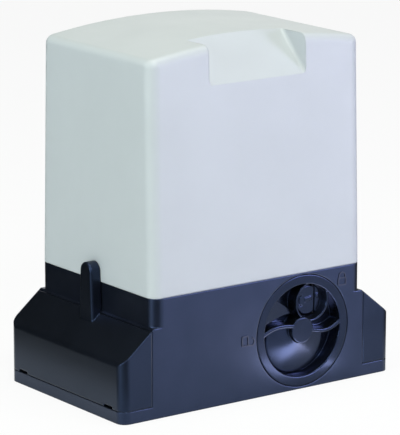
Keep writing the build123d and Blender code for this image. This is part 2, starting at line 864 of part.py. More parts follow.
with BuildPart() as clutch_sleeve:
    extrude(disc(at_shaft(clutch_rear), clutch_radius, shaft_radius + running_gap), amount=clutch_length)
    with BuildSketch(at_shaft(clutch_front)) as dogs:
        with PolarLocations((clutch_radius + dog_inner) / 2, dog_count, start_angle=90):
            Rectangle(clutch_radius - dog_inner - 0.6, dog_width)
    extrude(amount=dog_height)
    with BuildSketch(Plane.YZ.offset(shaft_x)):
        with Locations((pin_y, shaft_z)):
            Circle(pin_radius + running_gap)
    extrude(amount=clutch_radius + 1, both=True, mode=Mode.SUBTRACT)

clutch_sleeve.part.label = "clutch_sleeve"
export_step(clutch_sleeve.part, "parts/clutch_sleeve.step")

with BuildPart() as clutch_pin:
    with BuildSketch(Plane.YZ.offset(shaft_x)):
        with Locations((pin_y, shaft_z)):
            Circle(pin_radius)
    extrude(amount=clutch_radius - 1, both=True)

clutch_pin.part.label = "clutch_pin"
export_step(clutch_pin.part, "parts/clutch_pin.step")

with BuildPart() as push_rod:
    extrude(disc(at_shaft(rod_rear), rod_radius), amount=rod_rear - rod_front)

push_rod.part.label = "push_rod"
export_step(push_rod.part, "parts/push_rod.step")

spring_front = clutch_rear + spring_wire + 0.1
spring_rear = rear_bearing_front - spring_wire - 0.1
spring_plane = Plane(origin=(shaft_x, spring_front, shaft_z), x_dir=(0, 0, 1), z_dir=(0, 1, 0))

with BuildPart() as coil:
    with BuildLine():
        Helix((spring_rear - spring_front) / spring_turns, spring_rear - spring_front, spring_radius)
    with BuildSketch(Plane.XZ):
        with Locations((spring_radius, 0)):
            RegularPolygon(spring_wire, 6)
    sweep(is_frenet=True)

with BuildPart() as clutch_spring:
    add(coil.part.moved(spring_plane.location))

clutch_spring.part.label = "clutch_spring"
export_step(clutch_spring.part, "parts/clutch_spring.step")

# Release plunger, with the follower pin that the knob's ramp pushes

plunger_rear = rod_front - 0.1
plunger_front = follower_y - follower_radius - plunger_nose

with BuildPart() as release_plunger:
    extrude(disc(at_shaft(plunger_rear), plunger_radius), amount=plunger_rear - plunger_front)
    with BuildSketch(Plane(origin=(shaft_x, follower_y, shaft_z))):
        Circle(follower_radius)
    extrude(amount=follower_reach)

release_plunger.part.label = "release_plunger"
export_step(release_plunger.part, "parts/release_plunger.step")

# Release knob: ring, S-shaped rib, sloping lobe, finger pockets, lock boss and helical ramp behind

knob_front = front_y
knob_inner = knob_radius - knob_ring
pocket_floor = knob_rear - knob_floor
pocket_depth = pocket_floor - knob_front
lock_x = shaft_x + lock_offset_x
lock_z = shaft_z + lock_offset_z
boss_face = knob_front + lock_boss_drop
cap_front = boss_face + cap_depth
seat_floor = cap_front + cap_thickness + cap_gap
hinge_x = lock_x + hinge_offset
hinge_y = cap_front + cap_thickness / 2
knuckle_radius = cap_thickness / 2


def at_lock(y):
    """A plane square to the lock's axis, seen from the front."""
    return Plane(origin=(lock_x, y, lock_z), x_dir=(1, 0, 0), z_dir=(0, -1, 0))


with BuildSketch(at_shaft(knob_front)) as finger_pockets:
    Circle(knob_inner)
    with BuildLine() as rib_line:
        left_end = (-knob_inner - 2, 0.4)
        left_arch = (-knob_inner / 2, 6.0)
        right_sag = (knob_inner * 0.43, -3.0)
        right_end = (knob_inner + 2, 3.4)
        Spline(left_end, left_arch, (0, 2.0), right_sag, right_end)
    trace(line_width=knob_rib, mode=Mode.SUBTRACT)
    Circle(knob_hub_radius, mode=Mode.SUBTRACT)

lower_pocket = finger_pockets.sketch.faces().sort_by(Axis.Z)[0]
upper_pocket = finger_pockets.sketch.faces().sort_by(Axis.Z)[-1]

# Upper blade: its lower border runs beside the rib, its face falls away from the ring

with BuildPart() as upper_blade:
    with BuildSketch(at_shaft(pocket_floor)):
        with BuildLine():
            ring_low = (-knob_inner + 0.6, 9.3)
            hub_end = (1.0, 9.5)
            hub_corner = (-3.0, 14.5)
            ring_high = (-knob_inner * 0.67, knob_inner * 0.76)
            Spline(ring_low, (-knob_inner * 0.36, 14.0), (-knob_inner * 0.2, 13.6), hub_end)
            Polyline(hub_end, hub_corner, ring_high)
            ThreePointArc(ring_high, (-knob_inner * 0.915, knob_inner * 0.45), ring_low)
        make_face()
    extrude(amount=pocket_depth - blade_drop)
    blade_face = Plane(
        origin=(shaft_x - knob_inner, knob_front + blade_drop, shaft_z + knob_inner / 4),
        x_dir=(0, 0, 1),
        z_dir=(blade_fall, -knob_inner, 0),
    )
    split(bisect_by=blade_face, keep=Keep.BOTTOM)

lobe_x = shaft_x + lobe_offset_x
lobe_z = shaft_z + lobe_offset_z
lobe_plane = Plane(origin=(lobe_x, 0, lobe_z), x_dir=(0, 1, 0), z_dir=(1, 0, 0))

with BuildPart() as finger_lobe:
    lobe_outline = turned(
        [
            (knob_rear, 0),
            (knob_rear, lobe_radius),
            (knob_front + lobe_drop, lobe_radius),
            (knob_front + lobe_crown, 0),
        ],
        lobe_plane,
    )
    revolve(lobe_outline, axis=Axis((lobe_x, 0, lobe_z), (0, 1, 0)))
    fillet(finger_lobe.edges().filter_by(GeomType.CIRCLE).sort_by(Axis.Y)[0], lobe_rim)
    extrude(lower_pocket, amount=knob_depth, dir=(0, 1, 0), mode=Mode.INTERSECT)

ramp_middle = (ramp_inner + ramp_outer) / 2
ramp_height = ramp_foot + clutch_travel + 0.5
ramp_plane = Plane(origin=(shaft_x, knob_rear, shaft_z), x_dir=(0, 0, 1), z_dir=(0, 1, 0))

with BuildPart() as knob_ramp:
    with BuildLine():
        Helix(2 * clutch_travel, clutch_travel, ramp_middle, lefthand=True)
    with BuildSketch(Plane.XZ):
        with Locations((ramp_middle, ramp_foot - ramp_height / 2)):
            Rectangle(ramp_outer - ramp_inner, ramp_height)
    sweep(is_frenet=True)
    with BuildSketch():
        Circle(ramp_outer + 1)
    extrude(amount=ramp_height, mode=Mode.INTERSECT)

with BuildPart() as release_knob:
    extrude(disc(at_shaft(knob_rear), knob_radius), amount=knob_depth)
    extrude(lower_pocket, amount=pocket_depth, dir=(0, 1, 0), mode=Mode.SUBTRACT)
    extrude(upper_pocket, amount=pocket_depth, dir=(0, 1, 0), mode=Mode.SUBTRACT)
    fillet(release_knob.faces().sort_by(Axis.Y)[0].edges(), knob_edge)
    add(finger_lobe.part)
    add(upper_blade.part)
    # Lock boss with its conical mouth and the bore of the key barrel
    extrude(disc(at_lock(knob_rear), lock_boss_radius), amount=knob_rear - boss_face)
    with BuildSketch(at_lock(boss_face)):
        Circle(lock_mouth_radius)
    with BuildSketch(at_lock(seat_floor)):
        Circle(lock_seat_radius)
    loft(mode=Mode.SUBTRACT)
    extrude(
        disc(at_lock(knob_rear), barrel_radius + running_gap),
        amount=knob_rear - seat_floor,
        mode=Mode.SUBTRACT,
    )
    # Fixed part of the lock's face, beyond the flip cap's hinge, and the holes of the hinge pin
    with BuildSketch(at_lock(seat_floor)):
        Circle(lock_seat_radius + 0.5)
        with Locations((hinge_offset + knuckle_radius + cap_gap, 0)):
            Rectangle(lock_boss_radius, lock_boss_radius * 2, align=(Align.MIN, Align.CENTER), mode=Mode.INTERSECT)
    extrude(amount=seat_floor - cap_front)
    with BuildSketch(at_lock(cap_front)) as fixed_bar:
        with Locations(Location((cap_bar_start, 0, 0), (0, 0, cap_bar_lean))):
            Rectangle(cap_radius - cap_bar_start - 1, cap_bar_width, align=(Align.MIN, Align.CENTER))
        with Locations((hinge_offset + knuckle_radius + cap_bar_height + cap_gap, 0)):
            Rectangle(lock_boss_radius, lock_boss_radius * 2, align=(Align.MIN, Align.CENTER), mode=Mode.INTERSECT)
    extrude(amount=cap_bar_height)
    with BuildSketch(Plane(origin=(hinge_x, hinge_y, lock_z))):
        Circle(hinge_pin_radius + running_gap)
    extrude(amount=hinge_pin_length / 2, both=True, mode=Mode.SUBTRACT)
    # Hub that runs on the cover plate's boss, with the groove of the retaining ring
    extrude(
        disc(at_shaft(plate_front - cap_gap), boss_radius + running_gap + 3.0, boss_radius + running_gap),
        amount=plate_front - cap_gap - knob_rear,
    )
    extrude(
        disc(at_shaft(ring_y + ring_thickness / 2 + 0.1), ring_outer + 0.1, boss_radius),
        amount=ring_thickness + 0.2,
        mode=Mode.SUBTRACT,
    )
    add(knob_ramp.part.moved(ramp_plane.location))

release_knob.part.label = "release_knob"
export_step(release_knob.part, "parts/release_knob.step")

with BuildPart() as knob_retaining_ring:
    extrude(disc(at_shaft(ring_y + ring_thickness / 2), ring_outer, ring_inner), amount=ring_thickness)

knob_retaining_ring.part.label = "knob_retaining_ring"
export_step(knob_retaining_ring.part, "parts/knob_retaining_ring.step")

with BuildPart() as lock_barrel:
    extrude(disc(at_lock(knob_rear), barrel_radius), amount=knob_rear - seat_floor)
    extrude(disc(at_lock(knob_rear + 0.3 + cam_thickness), barrel_tail_radius), amount=0.3 + cam_thickness)
    with BuildSketch(at_lock(seat_floor + key_slot_depth)):
        Rectangle(key_slot_width, key_slot_length)
    extrude(amount=key_slot_depth, mode=Mode.SUBTRACT)

lock_barrel.part.label = "lock_barrel"
export_step(lock_barrel.part, "parts/lock_barrel.step")

cam_turn = math.degrees(math.atan2(lock_offset_z, lock_offset_x))

with BuildPart() as lock_cam:
    with BuildSketch(at_lock(knob_rear + 0.3 + cam_thickness)):
        Circle(barrel_tail_radius + 2.0)
        with Locations(Location((0, 0, 0), (0, 0, cam_turn))):
            Rectangle(cam_length, cam_width, align=(Align.MIN, Align.CENTER))
        Circle(barrel_tail_radius, mode=Mode.SUBTRACT)
    extrude(amount=cam_thickness)

lock_cam.part.label = "lock_cam"
export_step(lock_cam.part, "parts/lock_cam.step")

with BuildPart() as lock_cap:
    extrude(disc(at_lock(cap_front + cap_thickness), cap_radius), amount=cap_thickness)
    with BuildSketch(at_lock(cap_front)):
        with Locations(Location((cap_bar_start, 0, 0), (0, 0, cap_bar_lean))):
            Rectangle(cap_bar_length, cap_bar_width, align=(Align.MIN, Align.CENTER))
    extrude(amount=cap_bar_height)
    # Crescent notch for a fingernail, away from the hinge
    with BuildSketch(at_lock(cap_front + cap_notch_depth)):
        with Locations((cap_notch_shift, 0)):
            Circle(cap_notch_radius)
        with Locations((cap_notch_shift + cap_notch_width, 0)):
            Circle(cap_notch_radius, mode=Mode.SUBTRACT)
    extrude(amount=cap_notch_depth, mode=Mode.SUBTRACT)
    # Trimmed at the hinge, where a round knuckle takes the pin
    with BuildSketch(at_lock(cap_front + cap_thickness)):
        with Locations((hinge_offset, 0)):
            Rectangle(cap_radius, 2 * cap_radius, align=(Align.MIN, Align.CENTER))
    extrude(amount=cap_thickness + cap_bar_height, mode=Mode.SUBTRACT)
    with BuildSketch(Plane(origin=(hinge_x, hinge_y, lock_z))):
        Circle(knuckle_radius)
    extrude(amount=math.sqrt(cap_radius**2 - hinge_offset**2) - cap_gap, both=True)
    with BuildSketch(Plane(origin=(hinge_x, hinge_y, lock_z))):
        Circle(hinge_pin_radius + running_gap)
    extrude(amount=cap_radius, both=True, mode=Mode.SUBTRACT)

lock_cap.part.label = "lock_cap"
export_step(lock_cap.part, "parts/lock_cap.step")

with BuildPart() as cap_hinge_pin:
    with BuildSketch(Plane(origin=(hinge_x, hinge_y, lock_z))):
        Circle(hinge_pin_radius)
    extrude(amount=hinge_pin_length / 2, both=True)

cap_hinge_pin.part.label = "cap_hinge_pin"
export_step(cap_hinge_pin.part, "parts/cap_hinge_pin.step")

# Motor: lower bell, stator with its windings, upper bell, tie bolts

bell_bottom = deck_height
stator_bottom = bell_bottom + lower_bell_height
stator_top = stator_bottom + stator_height
bell_top = stator_top + upper_bell_height
lower_bearing_bottom = floor_thickness + 6.0
middle_bearing_top = deck_height - 3.0
upper_bearing_top = bell_top - 3.0
bearing_bottoms = (
    lower_bearing_bottom,
    middle_bearing_top - motor_bearing_width,
    upper_bearing_top - motor_bearing_width,
)

with BuildPart() as lower_bell:
    with BuildSketch(at_motor(bell_bottom)):
        RectangleRounded(motor_side, motor_side, motor_corner)
    extrude(amount=lower_bell_height)
    with BuildSketch(at_motor(bell_bottom + bell_floor)):
        Circle(motor_bell_bore)
    extrude(amount=lower_bell_height, mode=Mode.SUBTRACT)
    with BuildSketch(at_motor(bell_bottom)):
        Circle(motor_shaft_radius + 2.0)
        with GridLocations(2 * tie_bolt_offset, 2 * tie_bolt_offset, 2, 2):
            Circle(tie_bolt_radius + bolt_clearance)
    extrude(amount=lower_bell_height, mode=Mode.SUBTRACT)

lower_bell.part.label = "lower_bell"
export_step(lower_bell.part, "parts/lower_bell.step")

with BuildPart() as upper_bell:
    with BuildSketch(at_motor(stator_top)):
        RectangleRounded(motor_side, motor_side, motor_corner)
    extrude(amount=upper_bell_height)
    with BuildSketch(at_motor(stator_top)):
        Circle(motor_bell_bore)
    extrude(amount=upper_bell_height - bell_floor - motor_bearing_width, mode=Mode.SUBTRACT)
    with BuildSketch(at_motor(stator_top)):
        Circle(motor_bearing_outer)
    extrude(amount=upper_bearing_top - stator_top, mode=Mode.SUBTRACT)
    with BuildSketch(at_motor(stator_top)):
        with GridLocations(2 * tie_bolt_offset, 2 * tie_bolt_offset, 2, 2):
            Circle(tie_bolt_radius + bolt_clearance)
    extrude(amount=upper_bell_height, mode=Mode.SUBTRACT)

upper_bell.part.label = "upper_bell"
export_step(upper_bell.part, "parts/upper_bell.step")

with BuildPart() as stator_core:
    with BuildSketch(at_motor(stator_bottom)):
        RectangleRounded(motor_side, motor_side, motor_corner)
        Circle(stator_bore, mode=Mode.SUBTRACT)
        with GridLocations(2 * tie_bolt_offset, 2 * tie_bolt_offset, 2, 2):
            Circle(tie_bolt_radius + bolt_clearance, mode=Mode.SUBTRACT)
    extrude(amount=stator_height)

stator_core.part.label = "stator_core"
export_step(stator_core.part, "parts/stator_core.step")

with BuildPart() as stator_windings:
    for winding_bottom in (stator_bottom - winding_height, stator_top):
        extrude(disc(at_motor(winding_bottom), motor_bell_bore - 1.5, winding_inner), amount=winding_height)

stator_windings.part.label = "stator_windings"
export_step(stator_windings.part, "parts/stator_windings.step")

with BuildPart() as tie_bolts:
    with BuildSketch(at_motor(deck_bottom + 1)):
        with GridLocations(2 * tie_bolt_offset, 2 * tie_bolt_offset, 2, 2):
            Circle(tie_bolt_radius)
    extrude(amount=bell_top - deck_bottom - 1)
    with BuildSketch(at_motor(bell_top)):
        with GridLocations(2 * tie_bolt_offset, 2 * tie_bolt_offset, 2, 2):
            RegularPolygon(2 * tie_bolt_radius, 6)
    extrude(amount=1.4 * tie_bolt_radius)

tie_bolts.part.label = "tie_bolts"
export_step(tie_bolts.part, "parts/tie_bolts.step")

# Rotor: core, shaft, worm and the inner rings of its bearings

rotor_radius = stator_bore - air_gap
rotor_bottom = lower_bearing_bottom - 1.0
rotor_top = upper_bearing_top - 1.0
worm_root = worm_pitch_radius - tooth_root * worm_module + 0.1
worm_pitch = math.pi * worm_module

with BuildPart() as rotor_shaft:
    with BuildSketch(at_motor(rotor_bottom)):
        Circle(motor_shaft_radius)
    extrude(amount=rotor_top - rotor_bottom)

rotor_shaft.part.label = "rotor_shaft"
export_step(rotor_shaft.part, "parts/rotor_shaft.step")

with BuildPart() as rotor_core:
    extrude(disc(at_motor(stator_bottom), rotor_radius, motor_shaft_radius), amount=stator_height)

rotor_core.part.label = "rotor_core"
export_step(rotor_core.part, "parts/rotor_core.step")

half_root = worm_pitch / 4 - flank_backlash / 2 + (worm_pitch_radius - worm_root) * math.tan(
    math.radians(pressure_angle)
)
half_tip = worm_pitch / 4 - flank_backlash / 2 - worm_module * math.tan(math.radians(pressure_angle))
worm_turns = round(worm_length / worm_pitch)
thread_turn = 180 * (worm_turns % 2)

with BuildPart() as worm_thread:
    with BuildLine():
        Helix(worm_pitch, worm_turns * worm_pitch, worm_pitch_radius)
    with BuildSketch(Plane.XZ):
        with BuildLine():
            Polyline(
                (worm_root - 1, half_root),
                (worm_pitch_radius + worm_module, half_tip),
                (worm_pitch_radius + worm_module, -half_tip),
                (worm_root - 1, -half_root),
                close=True,
            )
        make_face()
    sweep(is_frenet=True)

with BuildPart() as worm:
    worm_bottom = shaft_z - worm_turns * worm_pitch / 2
    extrude(
        disc(at_motor(worm_bottom - worm_pitch / 2), worm_root, motor_shaft_radius),
        amount=(worm_turns + 1) * worm_pitch,
    )
    add(worm_thread.part.moved(Location((worm_x, worm_y, worm_bottom), (0, 0, thread_turn))))
    extrude(
        disc(at_motor(worm_bottom - worm_pitch), motor_shaft_radius),
        amount=(worm_turns + 2) * worm_pitch,
        mode=Mode.SUBTRACT,
    )

worm.part.label = "worm"
export_step(worm.part, "parts/worm.step")

with BuildPart() as rotor_bearing_outers:
    for bottom in bearing_bottoms:
        extrude(disc(at_motor(bottom), motor_bearing_outer, motor_bearing_split + running_gap), amount=motor_bearing_width)

rotor_bearing_outers.part.label = "rotor_bearing_outers"
export_step(rotor_bearing_outers.part, "parts/rotor_bearing_outers.step")

with BuildPart() as rotor_bearing_inners:
    for bottom in bearing_bottoms:
        extrude(disc(at_motor(bottom), motor_bearing_split, motor_shaft_radius), amount=motor_bearing_width)

rotor_bearing_inners.part.label = "rotor_bearing_inners"
export_step(rotor_bearing_inners.part, "parts/rotor_bearing_inners.step")

# Electronics: board support standing on the housing's rim, board, terminals, relays, fuse and buttons

support_front = support_y - support_thickness
board_rear = support_front - board_standoff
board_front = board_rear - board_thickness
board_bottom = rim_top + board_rise
board_middle = board_bottom + board_height / 2
rim_front = -rim_depth / 2

with BuildPart() as board_support:
    with BuildSketch(Plane.XZ.offset(-support_y)):
        with Locations((0, rim_top + support_height / 2)):
            Rectangle(support_width, support_height)
    extrude(amount=support_thickness)
    with BuildSketch(Plane.XY.offset(rim_top)):
        with Locations((0, (rim_front + support_y) / 2)):
            Rectangle(support_width, support_y - rim_front)
    extrude(amount=support_foot_thickness)
    with BuildSketch(Plane.XZ.offset(-support_front)):
        with Locations((0, board_middle)):
            with GridLocations(board_width - 10, board_height - 10, 2, 2):
                Circle(3.0)
    extrude(amount=board_standoff)

board_support.part.label = "board_support"
export_step(board_support.part, "parts/board_support.step")

with BuildPart() as control_board:
    with BuildSketch(Plane.XZ.offset(-board_rear)):
        with Locations((0, board_middle)):
            Rectangle(board_width, board_height)
    extrude(amount=board_thickness)

control_board.part.label = "control_board"
export_step(control_board.part, "parts/control_board.step")

terminal_z = board_bottom + terminal_height / 2 + 3
relay_z = board_bottom + board_height - relay_height / 2 - 6
switch_z = board_bottom + switch_row_rise
fuse_z = switch_z + fuse_rise
board_plane = Plane.XZ.offset(-board_front)

with BuildPart() as terminal_blocks:
    with BuildSketch(board_plane):
        with Locations((0, terminal_z)):
            with GridLocations(terminal_width + 4, 1, terminal_count, 1):
                Rectangle(terminal_width, terminal_height)
    extrude(amount=terminal_depth)

terminal_blocks.part.label = "terminal_blocks"
export_step(terminal_blocks.part, "parts/terminal_blocks.step")

with BuildPart() as relays:
    with BuildSketch(board_plane):
        with Locations((-board_width / 4, relay_z)):
            with GridLocations(relay_width + 4, 1, relay_count, 1):
                Rectangle(relay_width, relay_height)
    extrude(amount=relay_depth)

relays.part.label = "relays"
export_step(relays.part, "parts/relays.step")

with BuildPart() as fuse_holders:
    with BuildSketch(board_plane):
        with Locations((0, fuse_z)):
            with GridLocations(fuse_length - fuse_holder_height, 1, 2, 1):
                Rectangle(fuse_holder_height, 2 * fuse_radius + 2)
    extrude(amount=2 * fuse_radius + 1.5)
    with BuildSketch(Plane.YZ.offset(-fuse_length / 2)):
        with Locations((board_front - fuse_radius - 1, fuse_z)):
            Circle(fuse_radius)
    extrude(amount=fuse_length, mode=Mode.SUBTRACT)

fuse_holders.part.label = "fuse_holders"
export_step(fuse_holders.part, "parts/fuse_holders.step")

with BuildPart() as fuse:
    with BuildSketch(Plane.YZ.offset(-fuse_length / 2)):
        with Locations((board_front - fuse_radius - 1, fuse_z)):
            Circle(fuse_radius)
    extrude(amount=fuse_length)

fuse.part.label = "fuse"
export_step(fuse.part, "parts/fuse.step")

with BuildPart() as button_housings:
    with BuildSketch(board_plane):
        with Locations((board_width / 4, switch_z)):
            with GridLocations(switch_spacing, 1, 3, 1):
                Rectangle(switch_size, switch_size)
                Circle(button_radius + button_clearance, mode=Mode.SUBTRACT)
    extrude(amount=switch_height)

button_housings.part.label = "button_housings"
export_step(button_housings.part, "parts/button_housings.step")

button_places = {"open_button": -1, "stop_button": 0, "close_button": 1}

for button_name, place in button_places.items():
    with BuildPart() as button:
        with BuildSketch(Plane.XZ.offset(-board_front + button_travel + button_clearance)):
            with Locations((board_width / 4 + place * switch_spacing, switch_z)):
                Circle(button_radius)
        extrude(amount=switch_height + button_reach - button_travel)
    button.part.label = button_name
    export_step(button.part, f"parts/{button_name}.step")

# Transformer on the deck, capacitor in its clip, limit sensor at the rear

transformer_x = -(rim_width / 2 - rim_wall) + transformer_width / 2 + 2
transformer_y = worm_y + motor_side / 2 - transformer_depth / 2

with BuildPart() as transformer_core:
    with BuildSketch(Plane.XZ.offset(-transformer_y)):
        with Locations((transformer_x, deck_height + transformer_height / 2)):
            Rectangle(transformer_width, transformer_height)
            with GridLocations(transformer_width / 2, 1, 2, 1):
                Rectangle(transformer_window, transformer_height - 2 * transformer_window, mode=Mode.SUBTRACT)
    extrude(amount=transformer_depth / 4, both=True)

transformer_core.part.label = "transformer_core"
export_step(transformer_core.part, "parts/transformer_core.step")

coil_width = transformer_width / 2 + transformer_window - 0.4
coil_height = transformer_height - 2 * transformer_window - 0.4
limb_width = transformer_width / 2 - transformer_window

with BuildPart() as transformer_coil:
    with BuildSketch(Plane.XY.offset(deck_height + transformer_height / 2 - coil_height / 2)):
        with Locations((transformer_x, transformer_y)):
            RectangleRounded(coil_width, transformer_depth - 6, 3.0)
            Rectangle(limb_width + 0.2, transformer_depth / 2 + 0.2, mode=Mode.SUBTRACT)
    extrude(amount=coil_height)

transformer_coil.part.label = "transformer_coil"
export_step(transformer_coil.part, "parts/transformer_coil.step")

capacitor_x = (worm_x + motor_side / 2 + rim_width / 2 - rim_wall) / 2
capacitor_y = worm_y + motor_side / 2 - capacitor_radius - clip_wall - 2

with BuildPart() as capacitor:
    with BuildSketch(Plane.XY.offset(deck_height + clip_wall)):
        with Locations((capacitor_x, capacitor_y)):
            Circle(capacitor_radius)
    extrude(amount=capacitor_height)
    fillet(capacitor.edges().filter_by(GeomType.CIRCLE).sort_by(Axis.Z)[-1], 2.0)

capacitor.part.label = "capacitor"
export_step(capacitor.part, "parts/capacitor.step")

with BuildPart() as capacitor_clip:
    with BuildSketch(Plane.XY.offset(deck_height)):
        with Locations((capacitor_x, capacitor_y)):
            Circle(capacitor_radius + running_gap + clip_wall)
    extrude(amount=clip_height)
    with BuildSketch(Plane.XY.offset(deck_height + clip_wall)):
        with Locations((capacitor_x, capacitor_y)):
            Circle(capacitor_radius + running_gap)
    extrude(amount=clip_height, mode=Mode.SUBTRACT)

capacitor_clip.part.label = "capacitor_clip"
export_step(capacitor_clip.part, "parts/capacitor_clip.step")

with BuildPart() as limit_sensor:
    with BuildSketch(Plane.XY.offset(rim_top)):
        with Locations((shaft_x, rim_depth / 2 - sensor_depth / 2)):
            Rectangle(sensor_width, sensor_depth)
    extrude(amount=sensor_height)
    fillet(limit_sensor.edges().filter_by(Axis.Z), 1.5)

limit_sensor.part.label = "limit_sensor"
export_step(limit_sensor.part, "parts/limit_sensor.step")
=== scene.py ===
import math

import bmesh
import bpy
from mathutils import Matrix, Vector


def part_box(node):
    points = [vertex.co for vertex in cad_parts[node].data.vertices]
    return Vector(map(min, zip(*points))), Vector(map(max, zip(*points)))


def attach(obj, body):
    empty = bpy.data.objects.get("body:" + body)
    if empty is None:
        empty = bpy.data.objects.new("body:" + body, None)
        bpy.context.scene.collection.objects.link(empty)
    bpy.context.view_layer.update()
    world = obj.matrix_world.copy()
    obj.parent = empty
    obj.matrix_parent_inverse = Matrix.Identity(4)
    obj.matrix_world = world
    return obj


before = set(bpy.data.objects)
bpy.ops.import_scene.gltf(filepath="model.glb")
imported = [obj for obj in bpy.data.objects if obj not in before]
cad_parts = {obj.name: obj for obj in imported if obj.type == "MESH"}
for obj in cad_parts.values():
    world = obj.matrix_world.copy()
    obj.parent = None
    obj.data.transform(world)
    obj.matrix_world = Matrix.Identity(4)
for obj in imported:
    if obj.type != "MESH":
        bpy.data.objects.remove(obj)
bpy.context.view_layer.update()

bl_info = {
    "name": "Sliding Gate Motor",
    "version": (1, 0, 0),
    "blender": (4, 5, 0),
    "location": "3D View > Sidebar > Gate Motor",
    "description": "Finishes and small surface pieces of a sliding gate motor",
    "category": "Object",
}

MM = 0.001
HOUSING_LOW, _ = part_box("base_housing")
FRONT = HOUSING_LOW.y               # the flat front face of the casting

# Surface finishes
EDGE_SAMPLES = 16                   # rays of the shader that softens sharp edges
DUST_COLOUR = (0.35, 0.36, 0.38)
BLACK_TINT = (0.33, 0.47, 0.95)     # blue cast of the gloss on the black paint
SHADE = 0.93                        # the cover's darker patches, as a part of its colour

# Padlock marks
SHACKLE_STEPS = 12
CORNER_STEPS = 3
WELD = 1e-7
SAME_PLACE = 1e-9
OPEN_SWING = math.radians(-35)      # the open shackle, turned about its right leg
OPEN_TURN = math.radians(-90)       # the open mark lies on its side

# Stage
FLOOR_DROP = 0.3 * MM               # keeps the floor off the foot's underside
FLOOR_COLOUR = (0.86, 0.86, 0.87, 1)
FLOOR_WHITE = 0.9                   # how much of the floor the camera sees as plain white
WORLD_COLOUR = (0.9, 0.95, 1.0, 1)
WORLD_STRENGTH = 0.2
LAMP_AIM = Vector((0, 0, 0.15))
FLAG_COLOUR = (0.01, 0.01, 0.012, 1)
# glow of a small card seen only in reflections: a painted highlight on the knob's lower lobe
KNOB_HIGHLIGHT_GLOW = 10.0
WHITE = (1, 1, 1, 1)
SENSOR_WIDTH = 36.0
SHIFT = (0.0018, -0.001)


# Sizes and colours

class FinishSettings(bpy.types.PropertyGroup):
    cover_colour: bpy.props.FloatVectorProperty(
        name="Cover colour", description="Light grey plastic of the top cover",
        default=(0.55, 0.58, 0.60), subtype="COLOR", size=3, min=0.0, max=1.0)
    cover_grain: bpy.props.FloatProperty(
        name="Cover grain", description="Size of the fine moulded grain on the cover",
        default=0.9 * MM, unit="LENGTH", min=0.1 * MM, max=5 * MM)
    casting_colour: bpy.props.FloatVectorProperty(
        name="Casting colour", description="Black paint of the cast base",
        default=(0.0035, 0.0045, 0.0065), subtype="COLOR", size=3, min=0.0, max=1.0)
    casting_grain: bpy.props.FloatProperty(
        name="Casting grain", description="Size of the orange peel in the paint",
        default=1.6 * MM, unit="LENGTH", min=0.1 * MM, max=10 * MM)
    plastic_colour: bpy.props.FloatVectorProperty(
        name="Guard colour", description="Black plastic of the side guards and the knob",
        default=(0.0035, 0.0042, 0.0055), subtype="COLOR", size=3, min=0.0, max=1.0)


class MarkSettings(bpy.types.PropertyGroup):
    body_width: bpy.props.FloatProperty(
        name="Lock body width", description="Width of the padlock mark's body",
        default=9.0 * MM, unit="LENGTH", min=2 * MM, max=30 * MM)
    body_height: bpy.props.FloatProperty(
        name="Lock body height", description="Height of the padlock mark's body",
        default=7.0 * MM, unit="LENGTH", min=2 * MM, max=30 * MM)
    stroke: bpy.props.FloatProperty(
        name="Stroke", description="Width of the raised lines of the padlock marks",
        default=1.1 * MM, unit="LENGTH", min=0.2 * MM, max=3 * MM)
    shackle: bpy.props.FloatProperty(
        name="Shackle", description="Radius of the shackle as a part of the body's width",
        default=0.36, min=0.1, max=0.5)
    rise: bpy.props.FloatProperty(
        name="Rise", description="How far the marks stand out of the casting",
        default=0.5 * MM, unit="LENGTH", min=0.05 * MM, max=1 * MM)
    open_place: bpy.props.FloatVectorProperty(
        name="Open mark place", description="Middle of the open padlock mark on the front, across and up",
        default=(-15.5 * MM, 50 * MM), size=2, unit="LENGTH")
    closed_place: bpy.props.FloatVectorProperty(
        name="Closed mark place", description="Middle of the closed padlock mark on the front, across and up",
        default=(85 * MM, 85.5 * MM), size=2, unit="LENGTH")


class StageSettings(bpy.types.PropertyGroup):
    floor_size: bpy.props.FloatProperty(
        name="Floor size", description="Side of the square floor",
        default=12.0, unit="LENGTH", min=1.0, max=50.0)
    camera_place: bpy.props.FloatVectorProperty(
        name="Camera place", description="Where the camera stands",
        default=(-1.4477, -1.9837, 0.7122), size=3, unit="LENGTH")
    camera_target: bpy.props.FloatVectorProperty(
        name="Camera target", description="The point the camera looks at",
        default=(-0.00279, -0.00128, 0.13706), size=3, unit="LENGTH")
    lens: bpy.props.FloatProperty(
        name="Lens", description="Focal length in millimetres on a 36 mm sensor",
        default=250.7, min=20.0, max=500.0)


# Shared shader node groups

def group_with(name, inputs, outputs):
    """A new shader node group with float or colour sockets, given as (name, kind, default)."""
    tree = bpy.data.node_groups.new(name, "ShaderNodeTree")
    for socket_name, kind, default in inputs:
        socket = tree.interface.new_socket(socket_name, in_out="INPUT", socket_type=kind)
        if default is not None:
            socket.default_value = default
    for socket_name, kind in outputs:
        tree.interface.new_socket(socket_name, in_out="OUTPUT", socket_type=kind)
    return tree, tree.nodes.new("NodeGroupInput"), tree.nodes.new("NodeGroupOutput")


def math_node(tree, operation, first, second, clamp=False):
    """The output of a Math node; each value is a number or another node's output."""
    node = tree.nodes.new("ShaderNodeMath")
    node.operation = operation
    node.use_clamp = clamp
    for socket, value in zip(node.inputs, (first, second)):
        if isinstance(value, (int, float)):
            socket.default_value = value
        else:
            tree.links.new(value, socket)
    return node.outputs[0]


def mapped(tree, value, low, high, to_low, to_high):
    """A value brought from one range to another."""
    node = tree.nodes.new("ShaderNodeMapRange")
    tree.links.new(value, node.inputs["Value"])
    ends = (("From Min", low), ("From Max", high), ("To Min", to_low), ("To Max", to_high))
    for socket_name, number in ends:
        node.inputs[socket_name].default_value = number
    return node.outputs["Result"]


